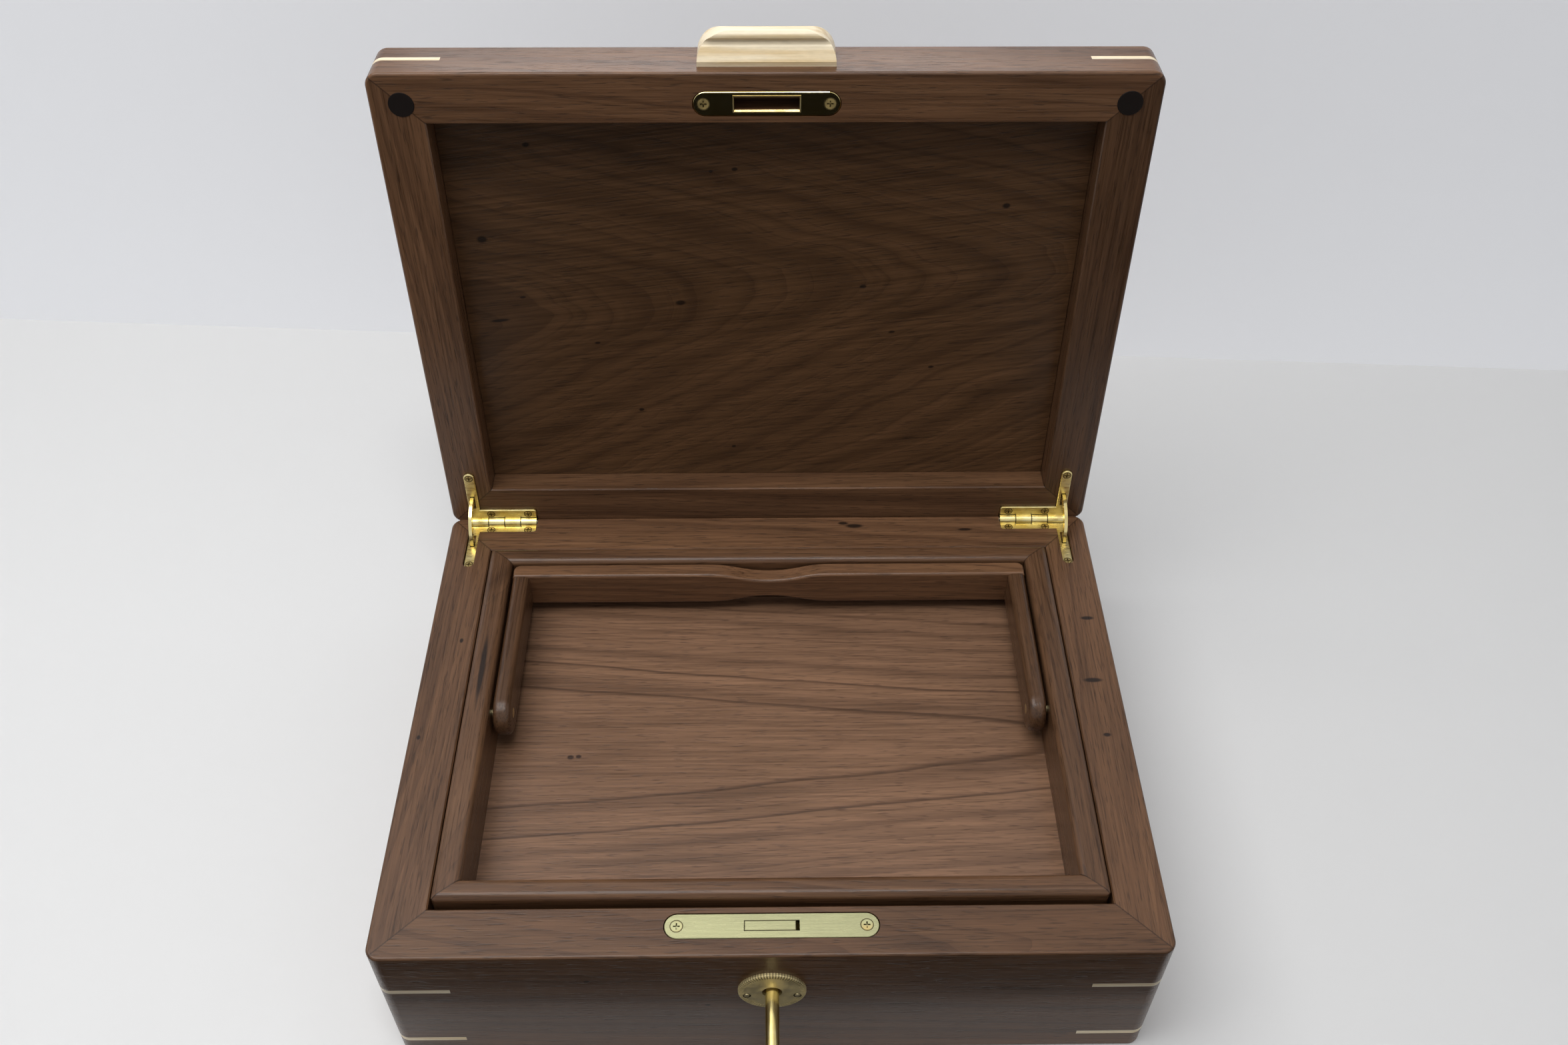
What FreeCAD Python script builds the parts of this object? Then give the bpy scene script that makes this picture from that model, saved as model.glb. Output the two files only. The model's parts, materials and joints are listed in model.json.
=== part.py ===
import FreeCAD, Part
import math
import os

# A hinged walnut watch box with a lift-out tray, standing open on its two quadrant hinges.
# Millimetres. X runs to the right, Y to the back, Z up.
# The origin is the centre of the underside, on the surface that the box stands on.

V = FreeCAD.Vector
X_AXIS = V(1, 0, 0)
Y_AXIS = V(0, 1, 0)
Z_AXIS = V(0, 0, 1)
SIDES = ("front", "back", "left", "right")

# Carcass
LENGTH = 280.0
DEPTH = 210.4
BASE_HEIGHT = 73.0
WALL = 19.0
CORNER_RADIUS = 5.0
EDGE_EASE = 1.0
INNER_EASE = 0.5
BOTTOM_THICKNESS = 6.0
BOTTOM_RABBET = 8.0
PANEL_CLEARANCE = 0.2

# Lid
LID_HEIGHT = 21.6
LID_WALL = 19.0
LID_RECESS = 10.5
LID_PANEL_THICKNESS = 9.6
LID_TONGUE = 5.0
LID_TONGUE_THICKNESS = 5.0
LID_TONGUE_ABOVE_RECESS = 3.0
OPEN_ANGLE = 93.5
RIM_GAP = 0.3

# Corner splines, set across the mitres
SPLINE_THICKNESS = 2.4
BASE_SPLINE_LEG = 26.0
BASE_SPLINE_HEIGHTS = (11.0, 49.0)
LID_SPLINE_LEG = 25.0
LID_SPLINE_ABOVE_RIM = 11.6

# Tray
TRAY_END_CLEARANCE = 0.9
TRAY_LONG_CLEARANCE = 2.1
TRAY_PROUD = 3.4
TRAY_INSIDE_DEPTH = 24.0
TRAY_FLOOR_THICKNESS = 5.0
TRAY_FOOT = 1.5
TRAY_END_WALL = 10.0
TRAY_LONG_WALL = 8.2
TRAY_RIM_RADIUS = 2.5
TRAY_CORNER_RADIUS = 2.0
TRAY_GROOVE = 4.0
BEARER_WIDTH = 8.0
BEARER_HEIGHT = 14.0
SEAT_GAP = 0.2

# Tray handle, a bail that folds flat inside the tray
HANDLE_BELOW_RIM = 0.7
HANDLE_HEIGHT = 17.6
HANDLE_THICKNESS = 7.0
HANDLE_SIDE_GAP = 1.0
HANDLE_EDGE_RADIUS = 1.2
HANDLE_CORNER_RADIUS = 3.0
ARM_EDGE_RADIUS = 2.4
SCOOP_LENGTH = 52.0
SCOOP_DEPTH = 3.9
HANDLE_PIN_BEHIND_MIDDLE = 3.2
HANDLE_PIN_RADIUS = 2.0
HANDLE_PIN_DEPTH = 6.5
RUNNING_CLEARANCE = 0.05

# Quadrant hinges
PIN_INSIDE_BACK = 1.2
HINGE_SINK = 1.2
LEAF_THICKNESS = 2.0
LEAF_WIDTH = 6.9
LEAF_END_INSET = 37.2
ARM_CENTRE_INSET = 10.3
ARM_WIDTH = 4.6
ARM_LENGTH = 27.6
LEAF_CORNER = 1.2
LEAF_BEVEL = 0.3
MORTISE_CLEARANCE = 0.1
BARREL_RADIUS = 2.4
BARREL_CLEARANCE = 0.3
KNUCKLE_COUNT = 4
KNUCKLE_GAP = 0.12
HINGE_PIN_RADIUS = 1.0
STAY_THICKNESS = 1.4
STAY_RADIUS = 13.2
STAY_WIDTH = 2.9
STAY_CLEARANCE = 0.3
STAY_SLOT_START = 8.0
STAY_NIB = 0.8
STAY_NIB_ANGLE = 5.0
STAY_NIB_SEAT = 1.2

# Countersunk cross-head screws
SCREW_HEAD_RADIUS = 1.8
SCREW_HEAD_DEPTH = 1.2
SCREW_SHANK_RADIUS = 1.0
SCREW_LENGTH = 11.0
CROSS_LENGTH = 2.4
CROSS_WIDTH = 0.5
CROSS_DEPTH = 0.7
LEAF_SCREW_FROM_PIN = 4.6
LEAF_SCREW_FROM_END = 3.7
LEAF_SCREW_FROM_ARM = 7.0
ARM_SCREW_FROM_TIP = 2.4

# Mortise box lock
LOCK_FROM_FRONT = 11.6
SELVEDGE_LENGTH = 75.5
SELVEDGE_WIDTH = 9.7
SELVEDGE_THICKNESS = 2.0
SELVEDGE_BEVEL = 0.4
SELVEDGE_SLOT_LENGTH = 19.5
SELVEDGE_SLOT_WIDTH = 4.1
LOCK_SCREW_FROM_END = 4.5
LOCK_HEAD_RADIUS = 2.4
CASE_LENGTH = 56.0
CASE_WIDTH = 7.6
CASE_BELOW_BOLT = 2.8
CASE_PLATE = 1.0
POCKET_CLEARANCE = 0.3
KEY_BELOW_RIM = 24.3
KEY_SHANK_RADIUS = 2.5
KEY_BORE_RADIUS = 1.3
KEY_PIN_CLEARANCE = 0.08
KEY_OUTSIDE = 24.0
KEY_BIT_REACH = 8.5
KEY_BIT_THICKNESS = 2.2
KEY_SWING = 64.0
KEY_CLEARANCE = 0.5
KEY_COLLAR_RADIUS = 3.6
KEY_COLLAR_WIDTH = 2.0
KEY_COLLAR_EASE = 0.6
BOW_RADIUS = 10.5
BOW_RING = 4.0
BOW_THICKNESS = 2.6
BOW_EASE = 0.6
BOLT_THICKNESS = 3.2
BOLT_HEAD_LENGTH = 18.05
BOLT_SLOT_GAP = 0.15
BOLT_HOOK = 4.0
BOLT_SHIFT = 4.7
BOLT_TOP_GAP = 0.45
BOLT_SHANK_GAP = 3.0
BOLT_BRIDGE_GAP = 3.5
BOLT_LIMB_WIDTH = 18.5
BOLT_RIGHT_WIDTH = 12.5
BOLT_RIGHT_DROP = 2.5
BOLT_TALON_ABOVE = 2.8
BOLT_TALON_BELOW = 4.4
BOLT_JAW = 3.0
BOLT_JAW_GAP = 0.4
STUD_RADIUS = 1.5
STUD_CLEARANCE = 0.15
STUD_BELOW_TOP = 2.7
STUD_LEFT_INSET = 9.0
STUD_RIGHT_INSET = 4.5

# Key escutcheon
ESCUTCHEON_RADIUS = 12.2
ESCUTCHEON_THICKNESS = 1.3
ESCUTCHEON_EDGE_ROUND = 0.6
ESCUTCHEON_HOLE_RADIUS = 3.6
ESCUTCHEON_PIN_FROM_EDGE = 3.2
ESCUTCHEON_PIN_DROP = 2.4
ESCUTCHEON_PIN_SINK = 0.5
ESCUTCHEON_PIN_SEAT = 1.4
ESCUTCHEON_PIN_RADIUS = 0.6
ESCUTCHEON_PIN_HEAD = 1.1
ESCUTCHEON_PIN_LENGTH = 7.0

# Striker in the lid's front rim
STRIKER_LENGTH = 52.6
STRIKER_WIDTH = 9.4
STRIKER_THICKNESS = 1.5
STRIKER_BEVEL = 0.4
STRIKER_SLOT_LENGTH = 23.3
STRIKER_SLOT_WIDTH = 5.7
STRIKER_SCREW_FROM_END = 3.9
STRIKER_POCKET_SPARE = 1.0

# Lid buffers and lid pull
BUFFER_RADIUS = 4.6
BUFFER_INSET = 11.5
BUFFER_DEPTH = 2.0
BUFFER_PROUD = 0.2
BUFFER_EASE = 0.15
PULL_LENGTH = 49.0
PULL_PROJECTION = 11.0
PULL_HEIGHT = 11.2
PULL_ABOVE_RIM = 4.7
PULL_SHOULDER_LENGTH = 11.0
PULL_SHOULDER_RISE = 10.2
PULL_FOOT = 1.7
PULL_COVE_START = 6.0
PULL_COVE_END = 9.0
PULL_COVE_RISE = 3.0
PULL_COVE_DEPTH = 0.8
PULL_TOP_ROUND = 3.5

# Places worked out from the sizes above
HALF_X = LENGTH / 2
HALF_Y = DEPTH / 2
INNER_X = HALF_X - WALL
INNER_Y = HALF_Y - WALL
LID_BOTTOM = BASE_HEIGHT + RIM_GAP
LID_TOP = LID_BOTTOM + LID_HEIGHT
LID_INNER_X = HALF_X - LID_WALL
LID_INNER_Y = HALF_Y - LID_WALL
PIN_Y = HALF_Y - PIN_INSIDE_BACK
PIN_Z = BASE_HEIGHT + RIM_GAP / 2 - HINGE_SINK
BASE_LEAF_TOP = BASE_HEIGHT - HINGE_SINK
LID_LEAF_BOTTOM = LID_BOTTOM - HINGE_SINK
TRAY_X = INNER_X - TRAY_END_CLEARANCE
TRAY_Y = INNER_Y - TRAY_LONG_CLEARANCE
TRAY_TOP = BASE_HEIGHT + TRAY_PROUD
TRAY_FLOOR = TRAY_TOP - TRAY_INSIDE_DEPTH
TRAY_BOTTOM = TRAY_FLOOR - TRAY_FLOOR_THICKNESS - TRAY_FOOT
TRAY_INNER_X = TRAY_X - TRAY_END_WALL
TRAY_INNER_Y = TRAY_Y - TRAY_LONG_WALL
HANDLE_TOP = TRAY_TOP - HANDLE_BELOW_RIM
HANDLE_PIVOT_Z = HANDLE_TOP - HANDLE_HEIGHT / 2
ARM_OUTER_X = TRAY_INNER_X - HANDLE_SIDE_GAP
ARM_INNER_X = ARM_OUTER_X - HANDLE_THICKNESS
HANDLE_BACK_Y = TRAY_INNER_Y - HANDLE_SIDE_GAP
CROSSBAR_Y = HANDLE_BACK_Y - HANDLE_THICKNESS
ARM_X = HALF_X - ARM_CENTRE_INSET
LEAF_END_X = HALF_X - LEAF_END_INSET
BARREL_OUT_X = ARM_X + STAY_THICKNESS
KNUCKLE_LENGTH = (BARREL_OUT_X - LEAF_END_X) / KNUCKLE_COUNT
STAY_INNER = STAY_RADIUS - STAY_WIDTH / 2
STAY_OUTER = STAY_RADIUS + STAY_WIDTH / 2
LEAF_ANGLE = math.degrees(math.asin((LEAF_THICKNESS + RIM_GAP / 2) / STAY_INNER))
STAY_SEAT_ANGLE = LEAF_ANGLE + STAY_NIB_SEAT
STAY_END_ANGLE = STAY_SEAT_ANGLE + STAY_NIB_ANGLE
LOCK_Y = -HALF_Y + LOCK_FROM_FRONT
LOCK_SCREW_X = SELVEDGE_LENGTH / 2 - LOCK_SCREW_FROM_END
STRIKER_SCREW_X = STRIKER_LENGTH / 2 - STRIKER_SCREW_FROM_END
ESCUTCHEON_PIN_X = ESCUTCHEON_RADIUS - ESCUTCHEON_PIN_FROM_EDGE
SELVEDGE_Z = BASE_HEIGHT - SELVEDGE_THICKNESS
KEY_Z = BASE_HEIGHT - KEY_BELOW_RIM
KEY_REST_TURN = 90.0 - KEY_SWING / 2
BOLT_RISE = 2 * KEY_BIT_REACH * math.sin(math.radians(KEY_SWING / 2))
BOLT_BRIDGE_TOP = SELVEDGE_Z - BOLT_RISE - BOLT_TOP_GAP
BOLT_BRIDGE_BOTTOM = KEY_Z + KEY_SHANK_RADIUS + BOLT_BRIDGE_GAP
BOLT_LIMB_IN = KEY_SHANK_RADIUS + BOLT_SHANK_GAP
BOLT_LIMB_OUT = BOLT_LIMB_IN + BOLT_LIMB_WIDTH
BOLT_RIGHT_OUT = BOLT_LIMB_IN + BOLT_RIGHT_WIDTH
BOLT_RIGHT_BOTTOM = KEY_Z - BOLT_RIGHT_DROP
BOLT_TALON_TOP = KEY_Z - BOLT_RISE / 2 + BOLT_TALON_ABOVE
BOLT_TALON_BOTTOM = KEY_Z - BOLT_RISE / 2 - BOLT_TALON_BELOW
BOLT_TALON_BACK = KEY_BIT_REACH + BOLT_SHIFT
BOLT_JAW_IN = KEY_SHANK_RADIUS + BOLT_SHIFT + BOLT_JAW_GAP
BOLT_BOTTOM = BOLT_TALON_BOTTOM - BOLT_JAW
CASE_BOTTOM = BOLT_BOTTOM - CASE_BELOW_BOLT - CASE_PLATE
STUD_Z = BOLT_BRIDGE_TOP - STUD_BELOW_TOP
STUD_LEFT_X = STUD_LEFT_INSET - BOLT_LIMB_OUT
STUD_RIGHT_X = BOLT_RIGHT_OUT - STUD_RIGHT_INSET
STRIKER_TOP = LID_BOTTOM + STRIKER_THICKNESS
PULL_BOTTOM = LID_BOTTOM + PULL_ABOVE_RIM


def block(low, high):
    """Box between two opposite corners."""
    size = V(*high) - V(*low)
    return Part.makeBox(size.x, size.y, size.z, V(*low))


def rod(start, direction, radius, length):
    """Round bar from a start point."""
    return Part.makeCylinder(radius, length, V(*start), direction)


def face_of(points):
    """Flat face inside a closed polygon."""
    return Part.Face(Part.makePolygon([V(*p) for p in points] + [V(*points[0])]))


def plan_prism(points, bottom, top):
    """Upright prism over a polygon given in plan."""
    return face_of([(x, y, bottom) for x, y in points]).extrude(V(0, 0, top - bottom))


def front_prism(points, y_front, y_back):
    """Prism along Y over a polygon given in front view."""
    return face_of([(x, y_front, z) for x, z in points]).extrude(V(0, y_back - y_front, 0))


def outline_face(edges):
    """Flat face inside a closed run of edges."""
    return Part.Face(Part.Wire(Part.__sortEdges__(edges)))


def line(a, b):
    return Part.LineSegment(V(*a), V(*b)).toShape()


def arc(a, b, c):
    return Part.Arc(V(*a), V(*b), V(*c)).toShape()


def stadium(length, width, centre, bottom, top):
    """Upright plate with round ends, along X."""
    radius = width / 2
    straight = length / 2 - radius
    cx, cy = centre
    face = outline_face([
        line((cx - straight, cy - radius, bottom), (cx + straight, cy - radius, bottom)),
        arc((cx + straight, cy - radius, bottom), (cx + straight + radius, cy, bottom),
            (cx + straight, cy + radius, bottom)),
        line((cx + straight, cy + radius, bottom), (cx - straight, cy + radius, bottom)),
        arc((cx - straight, cy + radius, bottom), (cx - straight - radius, cy, bottom),
            (cx - straight, cy - radius, bottom)),
    ])
    return face.extrude(V(0, 0, top - bottom))


def edges_at_height(shape, height):
    """Edges that lie flat at one height."""
    return [e for e in shape.Edges if all(abs(v.Z - height) < 1e-6 for v in e.Vertexes)]


def upright_edges(shape):
    return [e for e in shape.Edges if abs(e.Vertexes[0].Z - e.Vertexes[-1].Z) > 1e-6]


def rounded_block(half_x, half_y, bottom, top, corner, ease):
    """Box with rounded upright corners and eased top and bottom edges."""
    body = block((-half_x, -half_y, bottom), (half_x, half_y, top))
    body = body.makeFillet(corner, upright_edges(body))
    return body.makeFillet(ease, edges_at_height(body, bottom) + edges_at_height(body, top))


def mitre_wedges(half_x, half_y, end_wall, long_wall, bottom, top):
    """Four prisms that share out a rectangular frame along its mitres."""
    in_x = half_x - end_wall
    in_y = half_y - long_wall
    plans = {
        "front": [(-half_x, -half_y), (half_x, -half_y), (in_x, -in_y), (-in_x, -in_y)],
        "back": [(-half_x, half_y), (half_x, half_y), (in_x, in_y), (-in_x, in_y)],
        "left": [(-half_x, -half_y), (-half_x, half_y), (-in_x, in_y), (-in_x, -in_y)],
        "right": [(half_x, -half_y), (half_x, half_y), (in_x, in_y), (in_x, -in_y)],
    }
    return {side: plan_prism(plan, bottom, top) for side, plan in plans.items()}


def eased_opening(half_x, half_y, rim, outward):
    """Frustum that takes the sharp inner edge off a rectangular rim."""
    near = rim - outward * INNER_EASE
    loops = []
    for height, spread in ((near, 0.0), (rim, INNER_EASE)):
        x = half_x + spread
        y = half_y + spread
        corners = [(-x, -y, height), (x, -y, height), (x, y, height), (-x, y, height)]
        loops.append(Part.makePolygon([V(*c) for c in corners + corners[:1]]))
    return Part.makeLoft(loops, True, True)


def mirrored(shape):
    """The same piece on the other side of the box."""
    return shape.mirror(V(0, 0, 0), X_AXIS)


def both_sides(shape):
    return [shape, mirrored(shape)]


def opened(shape):
    """A piece of the lid, swung from closed to its open rest."""
    copy = shape.copy()
    copy.rotate(V(0, PIN_Y, PIN_Z), X_AXIS, -OPEN_ANGLE)
    return copy


def cut_all(shape, tools):
    for tool in tools:
        shape = shape.cut(tool)
    return shape


def group(shapes):
    return Part.makeCompound(shapes)


# Screws, made head up at the origin and then placed


def screw(head_radius=SCREW_HEAD_RADIUS):
    """Countersunk cross-head screw, its head flush with z = 0."""
    head = Part.makeCone(SCREW_SHANK_RADIUS, head_radius, SCREW_HEAD_DEPTH, V(0, 0, -SCREW_HEAD_DEPTH))
    shank = rod((0, 0, -SCREW_LENGTH), Z_AXIS, SCREW_SHANK_RADIUS, SCREW_LENGTH - SCREW_HEAD_DEPTH)
    slot = block((-CROSS_LENGTH / 2, -CROSS_WIDTH / 2, -CROSS_DEPTH), (CROSS_LENGTH / 2, CROSS_WIDTH / 2, 0))
    cross = slot.copy()
    cross.rotate(V(0, 0, 0), Z_AXIS, 90)
    return head.fuse(shank).removeSplitter().cut(slot.fuse(cross))


def screw_hole(head_radius=SCREW_HEAD_RADIUS):
    """Countersunk hole that the screw fills."""
    head = Part.makeCone(SCREW_SHANK_RADIUS, head_radius, SCREW_HEAD_DEPTH, V(0, 0, -SCREW_HEAD_DEPTH))
    shank = rod((0, 0, -SCREW_LENGTH), Z_AXIS, SCREW_SHANK_RADIUS, SCREW_LENGTH)
    return head.fuse(shank)


def placed(shape, x, y, z, inverted=False):
    """A copy moved to a point, head down where it is driven upwards."""
    copy = shape.copy()
    if inverted:
        copy.rotate(V(0, 0, 0), X_AXIS, 180)
    copy.translate(V(x, y, z))
    return copy


# Quadrant hinge of the right side; the left one is its mirror image


def about_pin(angle, radius, x):
    """Point at an angle above the base rim, seen from the hinge pin."""
    turn = math.radians(angle)
    return (x, PIN_Y - radius * math.cos(turn), PIN_Z + radius * math.sin(turn))


def strap(inner, outer, start, end, thickness):
    """Flat curved bar about the hinge pin, centred on the hinge arm."""
    x = ARM_X - thickness / 2
    middle = (start + end) / 2
    face = outline_face([
        arc(about_pin(start, outer, x), about_pin(middle, outer, x), about_pin(end, outer, x)),
        line(about_pin(end, outer, x), about_pin(end, inner, x)),
        arc(about_pin(end, inner, x), about_pin(middle, inner, x), about_pin(start, inner, x)),
        line(about_pin(start, inner, x), about_pin(start, outer, x)),
    ])
    return face.extrude(V(thickness, 0, 0))


def leaf_plate(bottom, top, spare):
    """L-shaped hinge plate in plan: a leaf along the back and an arm along the side."""
    half = ARM_WIDTH / 2 + spare
    y_tip = PIN_Y - ARM_LENGTH + ARM_WIDTH / 2
    y_leaf = PIN_Y - LEAF_WIDTH - spare
    x_end = LEAF_END_X - spare
    face = outline_face([
        line((x_end, PIN_Y, bottom), (ARM_X + half, PIN_Y, bottom)),
        line((ARM_X + half, PIN_Y, bottom), (ARM_X + half, y_tip, bottom)),
        arc((ARM_X + half, y_tip, bottom), (ARM_X, y_tip - half, bottom), (ARM_X - half, y_tip, bottom)),
        line((ARM_X - half, y_tip, bottom), (ARM_X - half, y_leaf, bottom)),
        line((ARM_X - half, y_leaf, bottom), (x_end, y_leaf, bottom)),
        line((x_end, y_leaf, bottom), (x_end, PIN_Y, bottom)),
    ])
    plate = face.extrude(V(0, 0, top - bottom))
    corner = [e for e in upright_edges(plate)
              if abs(e.Vertexes[0].X - x_end) < 1e-6 and abs(e.Vertexes[0].Y - y_leaf) < 1e-6]
    return plate.makeFillet(LEAF_CORNER, corner)


def knuckle_span(index):
    """X range of one knuckle, counted from the leaf's inner end."""
    start = LEAF_END_X + index * KNUCKLE_LENGTH
    return start + KNUCKLE_GAP / 2, start + KNUCKLE_LENGTH - KNUCKLE_GAP / 2


def barrel(x_start, x_end, radius):
    return rod((x_start, PIN_Y, PIN_Z), X_AXIS, radius, x_end - x_start)


def leaf_screw_places():
    y = PIN_Y - LEAF_SCREW_FROM_PIN
    leaf = [(ARM_X - LEAF_SCREW_FROM_ARM, y), (LEAF_END_X + LEAF_SCREW_FROM_END, y)]
    return leaf + [(ARM_X, PIN_Y - ARM_LENGTH + ARM_SCREW_FROM_TIP)]


def hinge_leaf(in_lid):
    """One leaf with its knuckles, countersunk holes and stay slot, in the closed pose."""
    bottom = LID_LEAF_BOTTOM if in_lid else BASE_LEAF_TOP - LEAF_THICKNESS
    show = LID_LEAF_BOTTOM if in_lid else BASE_LEAF_TOP
    own_first = 1 if in_lid else 0
    plate = leaf_plate(bottom, bottom + LEAF_THICKNESS, 0.0)
    bevelled = [e for e in edges_at_height(plate, show) if e.BoundBox.YMin < PIN_Y - BARREL_RADIUS]
    plate = plate.makeChamfer(LEAF_BEVEL, bevelled)
    plate = plate.cut(barrel(LEAF_END_X - WALL, HALF_X, BARREL_RADIUS + BARREL_CLEARANCE))
    for index in range(own_first, KNUCKLE_COUNT, 2):
        x_start, x_end = knuckle_span(index)
        web_top = bottom + LEAF_THICKNESS
        web = block((x_start, PIN_Y - BARREL_RADIUS - 2 * BARREL_CLEARANCE, bottom), (x_end, PIN_Y, web_top))
        plate = plate.fuse([barrel(x_start, x_end, BARREL_RADIUS), web])
    bore = HINGE_PIN_RADIUS + (RUNNING_CLEARANCE if in_lid else 0.0)
    plate = plate.cut(barrel(LEAF_END_X - WALL, HALF_X, bore))
    plate = plate.cut(block((ARM_X - STAY_THICKNESS / 2 - STAY_CLEARANCE,
                             PIN_Y - STAY_OUTER - STAY_CLEARANCE, bottom - 1),
                            (ARM_X + STAY_THICKNESS / 2 + STAY_CLEARANCE,
                             PIN_Y - STAY_SLOT_START, bottom + LEAF_THICKNESS + 1)))
    for x, y in leaf_screw_places():
        plate = plate.cut(placed(screw_hole(), x, y, show, in_lid))
    return plate.removeSplitter()


def hinge_screws(in_lid):
    show = LID_LEAF_BOTTOM if in_lid else BASE_LEAF_TOP
    return [placed(screw(), x, y, show, in_lid) for x, y in leaf_screw_places()]


def stay_pocket(in_lid):
    """Curved slot in the wood that the stay slides into as the lid shuts."""
    reach = STAY_END_ANGLE + OPEN_ANGLE / 2 + STAY_NIB_ANGLE
    start, end = (0.0, reach) if in_lid else (-reach, 0.0)
    return strap(STAY_INNER - STAY_NIB - STAY_CLEARANCE, STAY_OUTER + STAY_NIB + STAY_CLEARANCE,
                 start, end, STAY_THICKNESS + 2 * STAY_CLEARANCE)


def hinge_mortises(in_lid):
    """What the hinge takes out of the wood: plate bed, barrel groove, screw holes and stay pocket.

    The bed in the base is deep enough for both leaves, which lie in it when the lid is shut.
    """
    bottom = LID_LEAF_BOTTOM if in_lid else BASE_LEAF_TOP - LEAF_THICKNESS
    show = LID_LEAF_BOTTOM if in_lid else BASE_LEAF_TOP
    top = LID_LEAF_BOTTOM + LEAF_THICKNESS
    tools = [
        leaf_plate(bottom, top, MORTISE_CLEARANCE),
        barrel(LEAF_END_X - BARREL_CLEARANCE, BARREL_OUT_X + BARREL_CLEARANCE,
               BARREL_RADIUS + BARREL_CLEARANCE),
        stay_pocket(in_lid),
    ]
    return tools + [placed(screw_hole(), x, y, show, in_lid) for x, y in leaf_screw_places()]


def hinge_stay():
    """Curved stay with a nib at each end that catches behind the two hinge arms."""
    body = strap(STAY_INNER, STAY_OUTER, -STAY_END_ANGLE, OPEN_ANGLE + STAY_END_ANGLE, STAY_THICKNESS)
    for start in (-STAY_END_ANGLE, OPEN_ANGLE + STAY_SEAT_ANGLE):
        end = start + STAY_NIB_ANGLE
        nib = strap(STAY_INNER - STAY_NIB, STAY_OUTER + STAY_NIB, start, end, STAY_THICKNESS)
        body = body.fuse(nib)
    return body.removeSplitter()


def hinge_pin():
    return barrel(LEAF_END_X, BARREL_OUT_X, HINGE_PIN_RADIUS)


# Corner splines


def spline_keys(leg, height, sheath, in_lid):
    """Triangular keys across the four mitred corners, trimmed to the box's outside and the stay pockets."""
    low = height - SPLINE_THICKNESS / 2
    key = plan_prism([(HALF_X, HALF_Y), (HALF_X - leg, HALF_Y), (HALF_X, HALF_Y - leg)],
                     low, low + SPLINE_THICKNESS).common(sheath)
    return both_sides(key.cut(stay_pocket(in_lid))) + both_sides(key.mirror(V(0, 0, 0), Y_AXIS))


# Lock, striker and key


def keyhole(spare, y_front, y_back):
    """Round hole with a slot below it for the key's bit."""
    reach = KEY_BIT_REACH + spare
    half = KEY_BIT_THICKNESS / 2 + spare
    hole = rod((0, y_front, KEY_Z), Y_AXIS, KEY_SHANK_RADIUS + spare, y_back - y_front)
    slot = block((-half, y_front, KEY_Z - reach), (half, y_back, KEY_Z))
    return hole.fuse(slot)


def bevelled_plate(length, width, thickness, bevel, centre_y, show, inward):
    """Round-ended plate with its show edges bevelled."""
    low = show if inward > 0 else show - thickness
    plate = stadium(length, width, (0, centre_y), low, low + thickness)
    return plate.makeChamfer(bevel, edges_at_height(plate, show))


def lock_screw_places(x):
    return [(-x, LOCK_Y), (x, LOCK_Y)]


def lock_selvedge():
    plate = bevelled_plate(SELVEDGE_LENGTH, SELVEDGE_WIDTH, SELVEDGE_THICKNESS, SELVEDGE_BEVEL,
                           LOCK_Y, BASE_HEIGHT, -1)
    half_x = SELVEDGE_SLOT_LENGTH / 2
    half_y = SELVEDGE_SLOT_WIDTH / 2
    plate = plate.cut(block((-half_x, LOCK_Y - half_y, SELVEDGE_Z), (half_x, LOCK_Y + half_y, BASE_HEIGHT)))
    holes = [placed(screw_hole(LOCK_HEAD_RADIUS), x, y, BASE_HEIGHT)
             for x, y in lock_screw_places(LOCK_SCREW_X)]
    return cut_all(plate, holes)


def lock_case_outer():
    return block((-CASE_LENGTH / 2, LOCK_Y - CASE_WIDTH / 2, CASE_BOTTOM),
                 (CASE_LENGTH / 2, LOCK_Y + CASE_WIDTH / 2, SELVEDGE_Z))


def lock_case():
    """Back plate and three folded edges; the cap closes its front and the selvedge its top."""
    inside = block((-CASE_LENGTH / 2 + CASE_PLATE, LOCK_Y - CASE_WIDTH / 2,
                    CASE_BOTTOM + CASE_PLATE),
                   (CASE_LENGTH / 2 - CASE_PLATE, LOCK_Y + CASE_WIDTH / 2 - CASE_PLATE, SELVEDGE_Z))
    return cut_all(lock_case_outer(), [inside, lock_key_pin()] + lock_guide_studs())


def lock_cap():
    y_front = LOCK_Y - CASE_WIDTH / 2
    cap = block((-CASE_LENGTH / 2 + CASE_PLATE, y_front, CASE_BOTTOM + CASE_PLATE),
                (CASE_LENGTH / 2 - CASE_PLATE, y_front + CASE_PLATE, SELVEDGE_Z))
    return cap.cut(keyhole(KEY_CLEARANCE, y_front, y_front + CASE_PLATE))


def lock_key_pin():
    """Drill pin that the key's bore turns on."""
    y_back = LOCK_Y + CASE_WIDTH / 2
    length = CASE_WIDTH - CASE_PLATE
    return rod((0, y_back - length, KEY_Z), Y_AXIS, KEY_BORE_RADIUS - KEY_PIN_CLEARANCE, length)


def lock_guide_studs():
    y_front = LOCK_Y - CASE_WIDTH / 2 + CASE_PLATE
    return [rod((x, y_front, STUD_Z), Y_AXIS, STUD_RADIUS, CASE_WIDTH - CASE_PLATE)
            for x in (STUD_LEFT_X, STUD_RIGHT_X)]


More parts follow.
